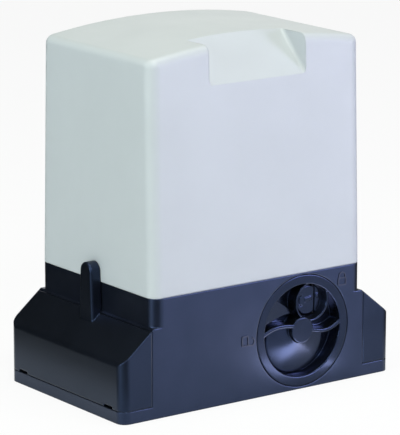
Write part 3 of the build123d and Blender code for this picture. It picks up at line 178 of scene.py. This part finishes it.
def blotches_group():
    """Slow uneven patches: a colour varied around its base, and a roughness varied around its middle."""
    tree, start, end = group_with(
        "surface_blotches",
        [("Vector", "NodeSocketVector", None), ("Colour", "NodeSocketColor", (0.5, 0.5, 0.5, 1)),
         ("Tint", "NodeSocketColor", (0.5, 0.5, 0.5, 1)), ("Amount", "NodeSocketFloat", 0.2),
         ("Patch Size", "NodeSocketFloat", 0.03), ("Roughness", "NodeSocketFloat", 0.5),
         ("Roughness Spread", "NodeSocketFloat", 0.08)],
        [("Colour", "NodeSocketColor"), ("Roughness", "NodeSocketFloat"), ("Mask", "NodeSocketFloat")])
    noise = tree.nodes.new("ShaderNodeTexNoise")
    noise.inputs["Detail"].default_value = 4.0
    noise.inputs["Roughness"].default_value = 0.55
    tree.links.new(start.outputs["Vector"], noise.inputs["Vector"])
    tree.links.new(math_node(tree, "DIVIDE", 1.0, start.outputs["Patch Size"]), noise.inputs["Scale"])
    mask = mapped(tree, noise.outputs["Fac"], 0.3, 0.7, 0.0, 1.0)
    mix = tree.nodes.new("ShaderNodeMix")
    mix.data_type = "RGBA"
    tree.links.new(math_node(tree, "MULTIPLY", mask, start.outputs["Amount"]), mix.inputs["Factor"])
    tree.links.new(start.outputs["Colour"], mix.inputs["A"])
    tree.links.new(start.outputs["Tint"], mix.inputs["B"])
    swing = mapped(tree, mask, 0.0, 1.0, -1.0, 1.0)
    spread = math_node(tree, "MULTIPLY", swing, start.outputs["Roughness Spread"])
    tree.links.new(mix.outputs["Result"], end.inputs["Colour"])
    tree.links.new(math_node(tree, "ADD", start.outputs["Roughness"], spread, True), end.inputs["Roughness"])
    tree.links.new(mask, end.inputs["Mask"])
    return tree


def grain_group():
    """Fine grain of a moulded or painted surface, as a height."""
    tree, start, end = group_with(
        "moulded_grain",
        [("Vector", "NodeSocketVector", None), ("Grain Size", "NodeSocketFloat", 0.001),
         ("Softness", "NodeSocketFloat", 0.5), ("Depth", "NodeSocketFloat", 1.0)],
        [("Height", "NodeSocketFloat")])
    fine = tree.nodes.new("ShaderNodeTexNoise")
    fine.inputs["Detail"].default_value = 3.0
    cells = tree.nodes.new("ShaderNodeTexVoronoi")
    cells.feature = "SMOOTH_F1"
    scale = math_node(tree, "DIVIDE", 1.0, start.outputs["Grain Size"])
    for node in (fine, cells):
        tree.links.new(start.outputs["Vector"], node.inputs["Vector"])
        tree.links.new(scale, node.inputs["Scale"])
    tree.links.new(start.outputs["Softness"], cells.inputs["Smoothness"])
    pits = math_node(tree, "MULTIPLY", cells.outputs["Distance"], 0.6)
    both = math_node(tree, "ADD", fine.outputs["Fac"], pits)
    tree.links.new(math_node(tree, "MULTIPLY", both, start.outputs["Depth"]), end.inputs["Height"])
    return tree


def dust_group():
    """Pale dust that lies on faces that look up, as a mask."""
    tree, start, end = group_with(
        "settled_dust",
        [("Vector", "NodeSocketVector", None), ("Amount", "NodeSocketFloat", 0.2),
         ("Speck Size", "NodeSocketFloat", 0.004)],
        [("Mask", "NodeSocketFloat")])
    geometry = tree.nodes.new("ShaderNodeNewGeometry")
    split = tree.nodes.new("ShaderNodeSeparateXYZ")
    tree.links.new(geometry.outputs["Normal"], split.inputs["Vector"])
    facing = mapped(tree, split.outputs["Z"], 0.2, 0.95, 0.0, 1.0)
    noise = tree.nodes.new("ShaderNodeTexNoise")
    noise.inputs["Detail"].default_value = 5.0
    tree.links.new(start.outputs["Vector"], noise.inputs["Vector"])
    tree.links.new(math_node(tree, "DIVIDE", 1.0, start.outputs["Speck Size"]), noise.inputs["Scale"])
    specks = mapped(tree, noise.outputs["Fac"], 0.42, 0.7, 0.15, 1.0)
    amount = math_node(tree, "MULTIPLY", start.outputs["Amount"], specks)
    tree.links.new(math_node(tree, "MULTIPLY", amount, facing, True), end.inputs["Mask"])
    return tree


def tool_lines_group():
    """Fine lines left by turning or rolling metal, as a height and a roughness."""
    tree, start, end = group_with(
        "tool_lines",
        [("Vector", "NodeSocketVector", None), ("Line Size", "NodeSocketFloat", 0.0005),
         ("Stretch", "NodeSocketFloat", 12.0), ("Roughness", "NodeSocketFloat", 0.3)],
        [("Height", "NodeSocketFloat"), ("Roughness", "NodeSocketFloat")])
    noise = tree.nodes.new("ShaderNodeTexNoise")
    noise.inputs["Detail"].default_value = 2.0
    noise.inputs["Distortion"].default_value = 0.2
    squeeze = tree.nodes.new("ShaderNodeVectorMath")
    squeeze.operation = "MULTIPLY"
    reach = tree.nodes.new("ShaderNodeCombineXYZ")
    reach.inputs["X"].default_value = 1.0
    reach.inputs["Y"].default_value = 1.0
    tree.links.new(start.outputs["Stretch"], reach.inputs["Z"])
    tree.links.new(start.outputs["Vector"], squeeze.inputs[0])
    tree.links.new(reach.outputs["Vector"], squeeze.inputs[1])
    tree.links.new(squeeze.outputs["Vector"], noise.inputs["Vector"])
    tree.links.new(math_node(tree, "DIVIDE", 0.2, start.outputs["Line Size"]), noise.inputs["Scale"])
    tree.links.new(noise.outputs["Fac"], end.inputs["Height"])
    spread = mapped(tree, noise.outputs["Fac"], 0.3, 0.7, -0.08, 0.08)
    tree.links.new(math_node(tree, "ADD", start.outputs["Roughness"], spread, True), end.inputs["Roughness"])
    return tree


BUILDERS = {"blotches": blotches_group, "grain": grain_group, "dust": dust_group, "tool_lines": tool_lines_group}
GROUPS = {}


def shared(name):
    """The shader node group of that name, built once."""
    if name not in GROUPS:
        GROUPS[name] = BUILDERS[name]()
    return GROUPS[name]


def placed_group(tree, name, vector, **values):
    """A shared group placed in a material, with values given as its input names in lower case."""
    node = tree.nodes.new("ShaderNodeGroup")
    node.node_tree = shared(name)
    tree.links.new(vector, node.inputs["Vector"])
    for key, value in values.items():
        socket = node.inputs[key.replace("_", " ").title()]
        if isinstance(value, bpy.types.NodeSocket):
            tree.links.new(value, socket)
        elif isinstance(value, (tuple, list)):
            socket.default_value = (*value[:3], 1.0)
        else:
            socket.default_value = value
    return node


def bare_material(name):
    """A new material with a Principled shader, a Bump that feeds it, and object coordinates."""
    material = bpy.data.materials.new(name)
    material.use_nodes = True
    tree = material.node_tree
    shader = tree.nodes["Principled BSDF"]
    place = tree.nodes.new("ShaderNodeTexCoord")
    bump = tree.nodes.new("ShaderNodeBump")
    tree.links.new(bump.outputs["Normal"], shader.inputs["Normal"])
    return material, tree, shader, bump, place.outputs["Object"]


def moulded(name, colour, tint, amount=0.25, patch=0.04, roughness=0.5, spread=0.06,
            grain=0.001, depth=0.00003, dust=0.0, specular=0.5, sheen_tint=(1.0, 1.0, 1.0), round_edge=0.0):
    """Plastic, paint, rubber or board: uneven colour, settled dust, a fine grain and softened edges."""
    material, tree, shader, bump, vector = bare_material(name)
    blotch = placed_group(tree, "blotches", vector, colour=colour, tint=tint, amount=amount,
                          patch_size=patch, roughness=roughness, roughness_spread=spread)
    colour_out = blotch.outputs["Colour"]
    if dust > 0:
        settled = placed_group(tree, "dust", vector, amount=dust)
        mix = tree.nodes.new("ShaderNodeMix")
        mix.data_type = "RGBA"
        tree.links.new(settled.outputs["Mask"], mix.inputs["Factor"])
        tree.links.new(colour_out, mix.inputs["A"])
        mix.inputs["B"].default_value = (*DUST_COLOUR, 1.0)
        colour_out = mix.outputs["Result"]
    tree.links.new(colour_out, shader.inputs["Base Color"])
    tree.links.new(blotch.outputs["Roughness"], shader.inputs["Roughness"])
    shader.inputs["Specular IOR Level"].default_value = specular
    shader.inputs["Specular Tint"].default_value = (*sheen_tint, 1.0)
    fine = placed_group(tree, "grain", vector, grain_size=grain)
    bump.inputs["Strength"].default_value = 0.5
    bump.inputs["Distance"].default_value = depth
    tree.links.new(fine.outputs["Height"], bump.inputs["Height"])
    if round_edge > 0:
        softened = tree.nodes.new("ShaderNodeBevel")
        softened.samples = EDGE_SAMPLES
        softened.inputs["Radius"].default_value = round_edge
        tree.links.new(softened.outputs["Normal"], bump.inputs["Normal"])
    return material


def metal(name, colour, tint, roughness=0.3, line=0.0005, stretch=12.0, depth=0.00001):
    """Bare or plated metal with tool lines and slight stains."""
    material, tree, shader, bump, vector = bare_material(name)
    blotch = placed_group(tree, "blotches", vector, colour=colour, tint=tint, amount=0.3, patch_size=0.01)
    lines = placed_group(tree, "tool_lines", vector, line_size=line, stretch=stretch, roughness=roughness)
    tree.links.new(blotch.outputs["Colour"], shader.inputs["Base Color"])
    tree.links.new(lines.outputs["Roughness"], shader.inputs["Roughness"])
    shader.inputs["Metallic"].default_value = 1.0
    bump.inputs["Strength"].default_value = 0.4
    bump.inputs["Distance"].default_value = depth
    tree.links.new(lines.outputs["Height"], bump.inputs["Height"])
    return material


def glass(name, colour):
    """Thin clear glass with faint waves."""
    material, tree, shader, bump, vector = bare_material(name)
    blotch = placed_group(tree, "blotches", vector, colour=colour, tint=(0.9, 0.9, 0.86), amount=0.3,
                          patch_size=0.004, roughness=0.05, roughness_spread=0.03)
    tree.links.new(blotch.outputs["Colour"], shader.inputs["Base Color"])
    tree.links.new(blotch.outputs["Roughness"], shader.inputs["Roughness"])
    shader.inputs["Transmission Weight"].default_value = 0.9
    shader.inputs["IOR"].default_value = 1.45
    bump.inputs["Strength"].default_value = 0.2
    bump.inputs["Distance"].default_value = 0.00002
    tree.links.new(blotch.outputs["Mask"], bump.inputs["Height"])
    return material


# Pieces

def finish_piece(name, bm, body, material):
    """A mesh object made of a bmesh, riding on a CAD body."""
    bmesh.ops.remove_doubles(bm, verts=bm.verts, dist=WELD)
    bmesh.ops.recalc_face_normals(bm, faces=bm.faces)
    mesh = bpy.data.meshes.new(name)
    bm.to_mesh(mesh)
    bm.free()
    piece = bpy.data.objects.new(name, mesh)
    bpy.context.scene.collection.objects.link(piece)
    mesh.materials.append(material)
    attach(piece, body)
    return piece


def raised(bm, faces, rise):
    """Lifts flat faces by the rise, with side walls, and keeps the lower faces."""
    lifted = bmesh.ops.extrude_face_region(bm, geom=faces, use_keep_orig=True)
    verts = [item for item in lifted["geom"] if isinstance(item, bmesh.types.BMVert)]
    bmesh.ops.translate(bm, verts=verts, vec=(0, 0, rise))


def padlock(settings, swing):
    """A raised padlock outline lying flat, body below and shackle above, swung open by an angle."""
    bm = bmesh.new()
    stroke = settings.stroke
    width, height = settings.body_width, settings.body_height
    made = bmesh.ops.create_grid(bm, x_segments=1, y_segments=1, size=0.5)
    bmesh.ops.scale(bm, vec=(width, height, 1), verts=made["verts"])
    bmesh.ops.bevel(bm, geom=made["verts"], offset=stroke, offset_type="OFFSET", affect="VERTICES",
                    segments=CORNER_STEPS, profile=0.5, material=-1)
    face = max(bm.faces, key=lambda f: f.calc_area())
    bmesh.ops.inset_individual(bm, faces=[face], thickness=stroke, depth=0)
    inner = min(bm.faces, key=lambda f: f.calc_center_median().length)
    bmesh.ops.delete(bm, geom=[inner], context="FACES_ONLY")
    radius = width * settings.shackle
    shackle = bmesh.new()
    edge = [shackle.verts.new((radius - stroke / 2, 0, 0)), shackle.verts.new((radius + stroke / 2, 0, 0))]
    line = shackle.edges.new(edge)
    bmesh.ops.spin(shackle, geom=[*edge, line], cent=(0, 0, 0), axis=(0, 0, 1), angle=math.pi,
                   steps=SHACKLE_STEPS, use_merge=False)
    bmesh.ops.translate(shackle, verts=shackle.verts, vec=(0, height / 2 + stroke, 0))
    legs = [e for e in shackle.edges
            if e.is_boundary and abs(e.verts[0].co.y - e.verts[1].co.y) < SAME_PLACE
            and abs(e.verts[0].co.y - height / 2 - stroke) < SAME_PLACE]
    grown = bmesh.ops.extrude_edge_only(shackle, edges=legs)
    lower = [item for item in grown["geom"] if isinstance(item, bmesh.types.BMVert)]
    bmesh.ops.translate(shackle, verts=lower, vec=(0, -stroke, 0))
    bmesh.ops.rotate(shackle, verts=shackle.verts, cent=(radius, height / 2, 0),
                     matrix=Matrix.Rotation(swing, 3, "Z"))
    flat = bpy.data.meshes.new("shackle")
    shackle.to_mesh(flat)
    shackle.free()
    bm.from_mesh(flat)
    bpy.data.meshes.remove(flat)
    bmesh.ops.recalc_face_normals(bm, faces=bm.faces)
    raised(bm, list(bm.faces), settings.rise)
    return bm


def on_front(bm, place, turn):
    """Turns a flat outline and stands it on the front face of the casting."""
    bmesh.ops.rotate(bm, verts=bm.verts, cent=(0, 0, 0), matrix=Matrix.Rotation(turn, 3, "Z"))
    bmesh.ops.rotate(bm, verts=bm.verts, cent=(0, 0, 0), matrix=Matrix.Rotation(math.radians(90), 3, "X"))
    bmesh.ops.translate(bm, verts=bm.verts, vec=(place[0], FRONT, place[1]))


def paint(material, *names):
    """Gives CAD nodes a material."""
    for name in names:
        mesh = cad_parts[name].data
        mesh.materials.clear()
        mesh.materials.append(material)


# Operators

class GATEMOTOR_OT_cover(bpy.types.Operator):
    """Light grey grained plastic on the top cover, with evenly shaded roundings"""
    bl_idname = "gatemotor.cover"
    bl_label = "Cover Finish"

    def execute(self, context):
        finish = context.scene.gatemotor_finish
        colour = tuple(finish.cover_colour)
        shade = tuple(part * SHADE for part in colour)
        cover = moulded("cover_plastic", colour, shade, amount=0.5, patch=0.06, roughness=0.46, spread=0.04,
                        grain=finish.cover_grain, depth=0.00004, round_edge=2.0 * MM)
        paint(cover, "top_cover")
        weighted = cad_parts["top_cover"].modifiers.new("weighted_normals", "WEIGHTED_NORMAL")
        weighted.keep_sharp = True
        return {"FINISHED"}


class GATEMOTOR_OT_base(bpy.types.Operator):
    """Satin black paint on the cast base and its side guards"""
    bl_idname = "gatemotor.base"
    bl_label = "Base Finish"

    def execute(self, context):
        finish = context.scene.gatemotor_finish
        casting = moulded("black_casting", tuple(finish.casting_colour), (0.006, 0.007, 0.010), amount=0.7,
                          patch=0.02, roughness=0.34, spread=0.03, grain=finish.casting_grain, depth=0.00005,
                          dust=0.002, specular=0.95, sheen_tint=BLACK_TINT, round_edge=1.4 * MM)
        paint(casting, "base_housing", "gear_cover_plate")
        plastic = moulded("black_plastic", tuple(finish.plastic_colour), (0.006, 0.007, 0.009), amount=0.6,
                          patch=0.03, roughness=0.34, spread=0.03, grain=0.0011, depth=0.00001, dust=0.001,
                          specular=0.70, sheen_tint=(0.30, 0.46, 0.95), round_edge=1.8 * MM)
        paint(plastic, "side_guard_left", "side_guard_right")
        return {"FINISHED"}


class GATEMOTOR_OT_knob(bpy.types.Operator):
    """Black plastic of the release knob, its flip cap and the lock"""
    bl_idname = "gatemotor.knob"
    bl_label = "Release Knob Finish"

    def execute(self, context):
        finish = context.scene.gatemotor_finish
        knob = moulded("knob_plastic", tuple(finish.plastic_colour), (0.006, 0.007, 0.011), amount=0.5,
                       patch=0.015, roughness=0.22, spread=0.03, grain=0.0008, depth=0.00002,
                       specular=0.65, sheen_tint=(0.30, 0.45, 1.0), round_edge=1.2 * MM)
        paint(knob, "release_knob", "lock_cap")
        brass = metal("lock_brass", (0.72, 0.53, 0.25), (0.55, 0.38, 0.17), roughness=0.28)
        paint(brass, "lock_barrel")
        oxide = metal("black_oxide", (0.030, 0.031, 0.036), (0.045, 0.045, 0.050), roughness=0.42)
        paint(oxide, "cap_hinge_pin")
        return {"FINISHED"}


class GATEMOTOR_OT_drive(bpy.types.Operator):
    """Steel, bronze and bearing finishes of the drive"""
    bl_idname = "gatemotor.drive"
    bl_label = "Drive Finish"

    def execute(self, context):
        gear = metal("gear_steel", (0.50, 0.50, 0.51), (0.38, 0.38, 0.40), roughness=0.34, line=0.0004)
        paint(gear, "pinion", "worm", "output_shaft", "rotor_shaft", "clutch_sleeve", "clutch_pin", "push_rod",
              "release_plunger", "pinion_key")
        bronze = metal("gear_bronze", (0.66, 0.42, 0.20), (0.50, 0.30, 0.15), roughness=0.33)
        paint(bronze, "worm_wheel", "wheel_bush")
        zinc = metal("zinc_steel", (0.66, 0.66, 0.62), (0.52, 0.53, 0.50), roughness=0.36, line=0.0003)
        paint(zinc, "pinion_washer", "pinion_bolt", "cover_screws", "plate_screws", "tie_bolts", "lock_cam",
              "capacitor_clip")
        spring = metal("spring_steel", (0.40, 0.40, 0.42), (0.28, 0.29, 0.31), roughness=0.30)
        paint(spring, "clutch_spring", "shaft_circlips", "knob_retaining_ring")
        bearing = metal("bearing_steel", (0.70, 0.70, 0.71), (0.58, 0.58, 0.60), roughness=0.22)
        paint(bearing, "rotor_bearing_outers", "rotor_bearing_inners", "shaft_bearing_outers",
              "shaft_bearing_inners")
        rubber = moulded("black_rubber", (0.018, 0.018, 0.019), (0.030, 0.030, 0.031), roughness=0.62,
                         grain=0.0012)
        paint(rubber, "cover_seal", "shaft_seal")
        return {"FINISHED"}


class GATEMOTOR_OT_motor(bpy.types.Operator):
    """Aluminium bells, laminated core and copper windings of the motor"""
    bl_idname = "gatemotor.motor"
    bl_label = "Motor Finish"

    def execute(self, context):
        bells = metal("bare_aluminium", (0.72, 0.73, 0.74), (0.60, 0.61, 0.63), roughness=0.44, depth=0.00004)
        paint(bells, "lower_bell", "upper_bell")
        sheets = metal("lamination_steel", (0.42, 0.43, 0.45), (0.30, 0.31, 0.33), roughness=0.40, line=0.0002,
                       stretch=40.0, depth=0.00006)
        paint(sheets, "stator_core", "rotor_core", "transformer_core")
        copper = moulded("copper_wire", (0.42, 0.13, 0.05), (0.30, 0.08, 0.03), roughness=0.30, grain=0.0008,
                         depth=0.0002)
        paint(copper, "stator_windings", "transformer_coil")
        return {"FINISHED"}


class GATEMOTOR_OT_electronics(bpy.types.Operator):
    """Board, terminals, relays, fuse, buttons, capacitor and sensor finishes"""
    bl_idname = "gatemotor.electronics"
    bl_label = "Electronics Finish"

    def execute(self, context):
        board = moulded("board_green", (0.020, 0.105, 0.050), (0.030, 0.130, 0.060), roughness=0.34, grain=0.003)
        paint(board, "control_board")
        support = moulded("support_plastic", (0.55, 0.55, 0.53), (0.48, 0.48, 0.46), roughness=0.5)
        paint(support, "board_support")
        terminals = moulded("terminal_plastic", (0.035, 0.16, 0.07), (0.050, 0.20, 0.09), roughness=0.42)
        paint(terminals, "terminal_blocks")
        dark = moulded("dark_plastic", (0.022, 0.022, 0.024), (0.036, 0.036, 0.038), roughness=0.40)
        paint(dark, "relays", "fuse_holders", "button_housings", "limit_sensor")
        paint(glass("fuse_glass", (0.92, 0.94, 0.93)), "fuse")
        buttons = moulded("button_plastic", (0.45, 0.06, 0.04), (0.38, 0.05, 0.03), roughness=0.36)
        paint(buttons, "open_button", "stop_button", "close_button")
        shell = moulded("capacitor_shell", (0.62, 0.63, 0.64), (0.54, 0.55, 0.56), roughness=0.36)
        paint(shell, "capacitor")
        return {"FINISHED"}


class GATEMOTOR_OT_marks(bpy.types.Operator):
    """Raised padlock marks beside the release knob"""
    bl_idname = "gatemotor.marks"
    bl_label = "Padlock Marks"

    def execute(self, context):
        settings = context.scene.gatemotor_marks
        casting = bpy.data.materials["black_casting"]
        for name, place, swing, turn in (
                ("open_padlock_mark", settings.open_place, OPEN_SWING, OPEN_TURN),
                ("closed_padlock_mark", settings.closed_place, 0.0, 0.0)):
            bm = padlock(settings, swing)
            on_front(bm, place, turn)
            finish_piece(name, bm, "housing", casting)
        return {"FINISHED"}


class GATEMOTOR_OT_stage(bpy.types.Operator):
    """Floor, soft light, white background, reflection cards and the camera"""
    bl_idname = "gatemotor.stage"
    bl_label = "Stage"

    def execute(self, context):
        scene = context.scene
        settings = scene.gatemotor_stage
        scene.view_settings.view_transform = "Standard"
        self.add_floor(scene, settings)
        self.add_background(scene)
        self.add_lamps(scene)
        self.add_cards(scene)
        self.add_camera(scene, settings)
        return {"FINISHED"}

    def add_floor(self, scene, settings):
        """A pale floor that looks white to the camera and keeps a faint shadow."""
        bm = bmesh.new()
        bmesh.ops.create_grid(bm, x_segments=1, y_segments=1, size=settings.floor_size / 2)
        bmesh.ops.translate(bm, verts=bm.verts, vec=(0, 0, -FLOOR_DROP))
        mesh = bpy.data.meshes.new("floor")
        bm.to_mesh(mesh)
        bm.free()
        floor = bpy.data.objects.new("floor", mesh)
        scene.collection.objects.link(floor)
        material = bpy.data.materials.new("floor_paper")
        material.use_nodes = True
        tree = material.node_tree
        tree.nodes.clear()
        out = tree.nodes.new("ShaderNodeOutputMaterial")
        paper = tree.nodes.new("ShaderNodeBsdfDiffuse")
        paper.inputs["Color"].default_value = FLOOR_COLOUR
        glow = tree.nodes.new("ShaderNodeEmission")
        glow.inputs["Color"].default_value = WHITE
        path = tree.nodes.new("ShaderNodeLightPath")
        mix = tree.nodes.new("ShaderNodeMixShader")
        seen = math_node(tree, "MULTIPLY", path.outputs["Is Camera Ray"], FLOOR_WHITE)
        tree.links.new(seen, mix.inputs["Fac"])
        tree.links.new(paper.outputs["BSDF"], mix.inputs[1])
        tree.links.new(glow.outputs["Emission"], mix.inputs[2])
        tree.links.new(mix.outputs["Shader"], out.inputs["Surface"])
        mesh.materials.append(material)

    def add_background(self, scene):
        """White to the camera, in reflections and through glass, and a weak even light otherwise."""
        world = bpy.data.worlds.new("studio")
        scene.world = world
        world.use_nodes = True
        tree = world.node_tree
        tree.nodes.clear()
        out = tree.nodes.new("ShaderNodeOutputWorld")
        seen = tree.nodes.new("ShaderNodeBackground")
        seen.inputs["Color"].default_value = WHITE
        light = tree.nodes.new("ShaderNodeBackground")
        light.inputs["Color"].default_value = WORLD_COLOUR
        light.inputs["Strength"].default_value = WORLD_STRENGTH
        path = tree.nodes.new("ShaderNodeLightPath")
        rays = math_node(tree, "MAXIMUM", path.outputs["Is Camera Ray"],
                         path.outputs["Is Transmission Ray"])
        rays = math_node(tree, "MAXIMUM", rays, path.outputs["Is Glossy Ray"])
        mix = tree.nodes.new("ShaderNodeMixShader")
        tree.links.new(rays, mix.inputs["Fac"])
        tree.links.new(light.outputs["Background"], mix.inputs[1])
        tree.links.new(seen.outputs["Background"], mix.inputs[2])
        tree.links.new(mix.outputs["Shader"], out.inputs["Surface"])

    def add_lamps(self, scene):
        """Four soft square lamps, as name, place, side, power and colour."""
        lamps = (
            ("front_lamp", (0.98, -1.30, 0.31), 0.44, 11.0, (0.715, 0.69, 1.0)),
            ("side_lamp", (-2.3, -0.25, 0.62), 0.9, 24.2, (0.87, 1.0, 0.99)),
            ("top_lamp", (0.0, -0.3, 2.4), 1.2, 36.5, (0.97, 1.0, 0.89)),
            ("edge_lamp", (-0.80, -1.75, 1.75), 0.35, 13.0, (0.92, 1.0, 0.97)),
        )
        for name, place, size, power, colour in lamps:
            lamp = bpy.data.lights.new(name, "AREA")
            lamp.shape = "SQUARE"
            lamp.size = size
            lamp.energy = power
            lamp.color = colour
            thing = bpy.data.objects.new(name, lamp)
            thing.location = place
            aim = LAMP_AIM - Vector(place)
            thing.rotation_euler = aim.to_track_quat("-Z", "Y").to_euler()
            scene.collection.objects.link(thing)

    def add_cards(self, scene):
        """Black flags, like those of a photo studio, which darken the reflections on the black parts, and a
        small white card that glows to put a painted highlight on the knob's lower lobe; all show in reflections
        only.

        Each is a name, its place, the point it faces, width, height, and its glow if it has one.
        """
        cards = (
            ("high_flag", (-0.45, 1.55, 1.35), (-0.10, 0.0, 0.06), 2.8, 2.2, None),
            ("back_flag", (-0.235, 0.165, 0.152), (-0.10, 0.0, 0.152), 0.52, 0.30, None),
            ("floor_flag", (-0.42, -0.75, 0.002), (-0.42, -0.75, 1.0), 0.62, 1.2, None),
            ("left_floor_flag", (-0.255, 0.09, 0.002), (-0.255, 0.09, 1.0), 0.12, 0.30, None),
            ("right_flag", (0.50, 0.05, 0.15), (0.12, 0.0, 0.15), 0.6, 0.5, None),
            ("right_floor_flag", (0.47, -0.06, 0.002), (0.47, -0.06, 1.0), 0.5, 0.28, None),
            # a small glowing card seen only in reflections, a painted highlight on the knob's lower lobe
            ("knob_highlight_card", (0.078, -0.136, 0.003), (0.078, -0.136, 1.0), 0.06, 0.04, (1.0, 0.93, 0.96)),
        )
        for name, place, aim, width, height, glow in cards:
            material = bpy.data.materials.new(name)
            material.use_nodes = True
            shader = material.node_tree.nodes["Principled BSDF"]
            shader.inputs["Base Color"].default_value = FLAG_COLOUR
            shader.inputs["Roughness"].default_value = 0.9
            if glow:
                shader.inputs["Emission Color"].default_value = (*glow, 1)
                shader.inputs["Emission Strength"].default_value = KNOB_HIGHLIGHT_GLOW
            bm = bmesh.new()
            made = bmesh.ops.create_grid(bm, x_segments=1, y_segments=1, size=0.5)
            bmesh.ops.scale(bm, vec=(width, height, 1), verts=made["verts"])
            turn = (Vector(aim) - Vector(place)).to_track_quat("Z", "Y").to_matrix()
            bmesh.ops.rotate(bm, verts=bm.verts, cent=(0, 0, 0), matrix=turn)
            bmesh.ops.translate(bm, verts=bm.verts, vec=place)
            mesh = bpy.data.meshes.new(name)
            bm.to_mesh(mesh)
            bm.free()
            mesh.materials.append(material)
            card = bpy.data.objects.new(name, mesh)
            scene.collection.objects.link(card)
            card.visible_camera = False
            card.visible_diffuse = False
            card.visible_shadow = False
            card.visible_transmission = False

    def add_camera(self, scene, settings):
        """The camera at the photograph's viewing angle."""
        data = bpy.data.cameras.new("camera")
        data.sensor_width = SENSOR_WIDTH
        data.lens = settings.lens
        data.shift_x, data.shift_y = SHIFT
        camera = bpy.data.objects.new("camera", data)
        place = Vector(settings.camera_place)
        camera.location = place
        aim = Vector(settings.camera_target) - place
        camera.rotation_euler = aim.to_track_quat("-Z", "Y").to_euler()
        scene.collection.objects.link(camera)
        scene.camera = camera


class GATEMOTOR_PT_panel(bpy.types.Panel):
    """Sizes, colours and steps of the gate motor's looks"""
    bl_label = "Gate Motor"
    bl_space_type = "VIEW_3D"
    bl_region_type = "UI"
    bl_category = "Gate Motor"

    def draw(self, context):
        layout = self.layout
        scene = context.scene
        for settings in (scene.gatemotor_finish, scene.gatemotor_marks, scene.gatemotor_stage):
            box = layout.box()
            for name in settings.bl_rna.properties.keys():
                if name not in ("rna_type", "name"):
                    box.prop(settings, name)
        for operator in OPERATORS:
            layout.operator(operator.bl_idname)


OPERATORS = (GATEMOTOR_OT_stage, GATEMOTOR_OT_cover, GATEMOTOR_OT_base, GATEMOTOR_OT_knob,
             GATEMOTOR_OT_drive, GATEMOTOR_OT_motor, GATEMOTOR_OT_electronics, GATEMOTOR_OT_marks)
SETTINGS = (("gatemotor_finish", FinishSettings), ("gatemotor_marks", MarkSettings),
            ("gatemotor_stage", StageSettings))


def register():
    for name, settings in SETTINGS:
        bpy.utils.register_class(settings)
        setattr(bpy.types.Scene, name, bpy.props.PointerProperty(type=settings))
    for part in (*OPERATORS, GATEMOTOR_PT_panel):
        bpy.utils.register_class(part)


def unregister():
    for part in (GATEMOTOR_PT_panel, *reversed(OPERATORS)):
        bpy.utils.unregister_class(part)
    for name, settings in SETTINGS:
        delattr(bpy.types.Scene, name)
        bpy.utils.unregister_class(settings)


def main():
    register()
    bpy.ops.gatemotor.stage()
    bpy.ops.gatemotor.cover()
    bpy.ops.gatemotor.base()
    bpy.ops.gatemotor.knob()
    bpy.ops.gatemotor.drive()
    bpy.ops.gatemotor.motor()
    bpy.ops.gatemotor.electronics()
    bpy.ops.gatemotor.marks()


if __name__ == "__main__":
    main()
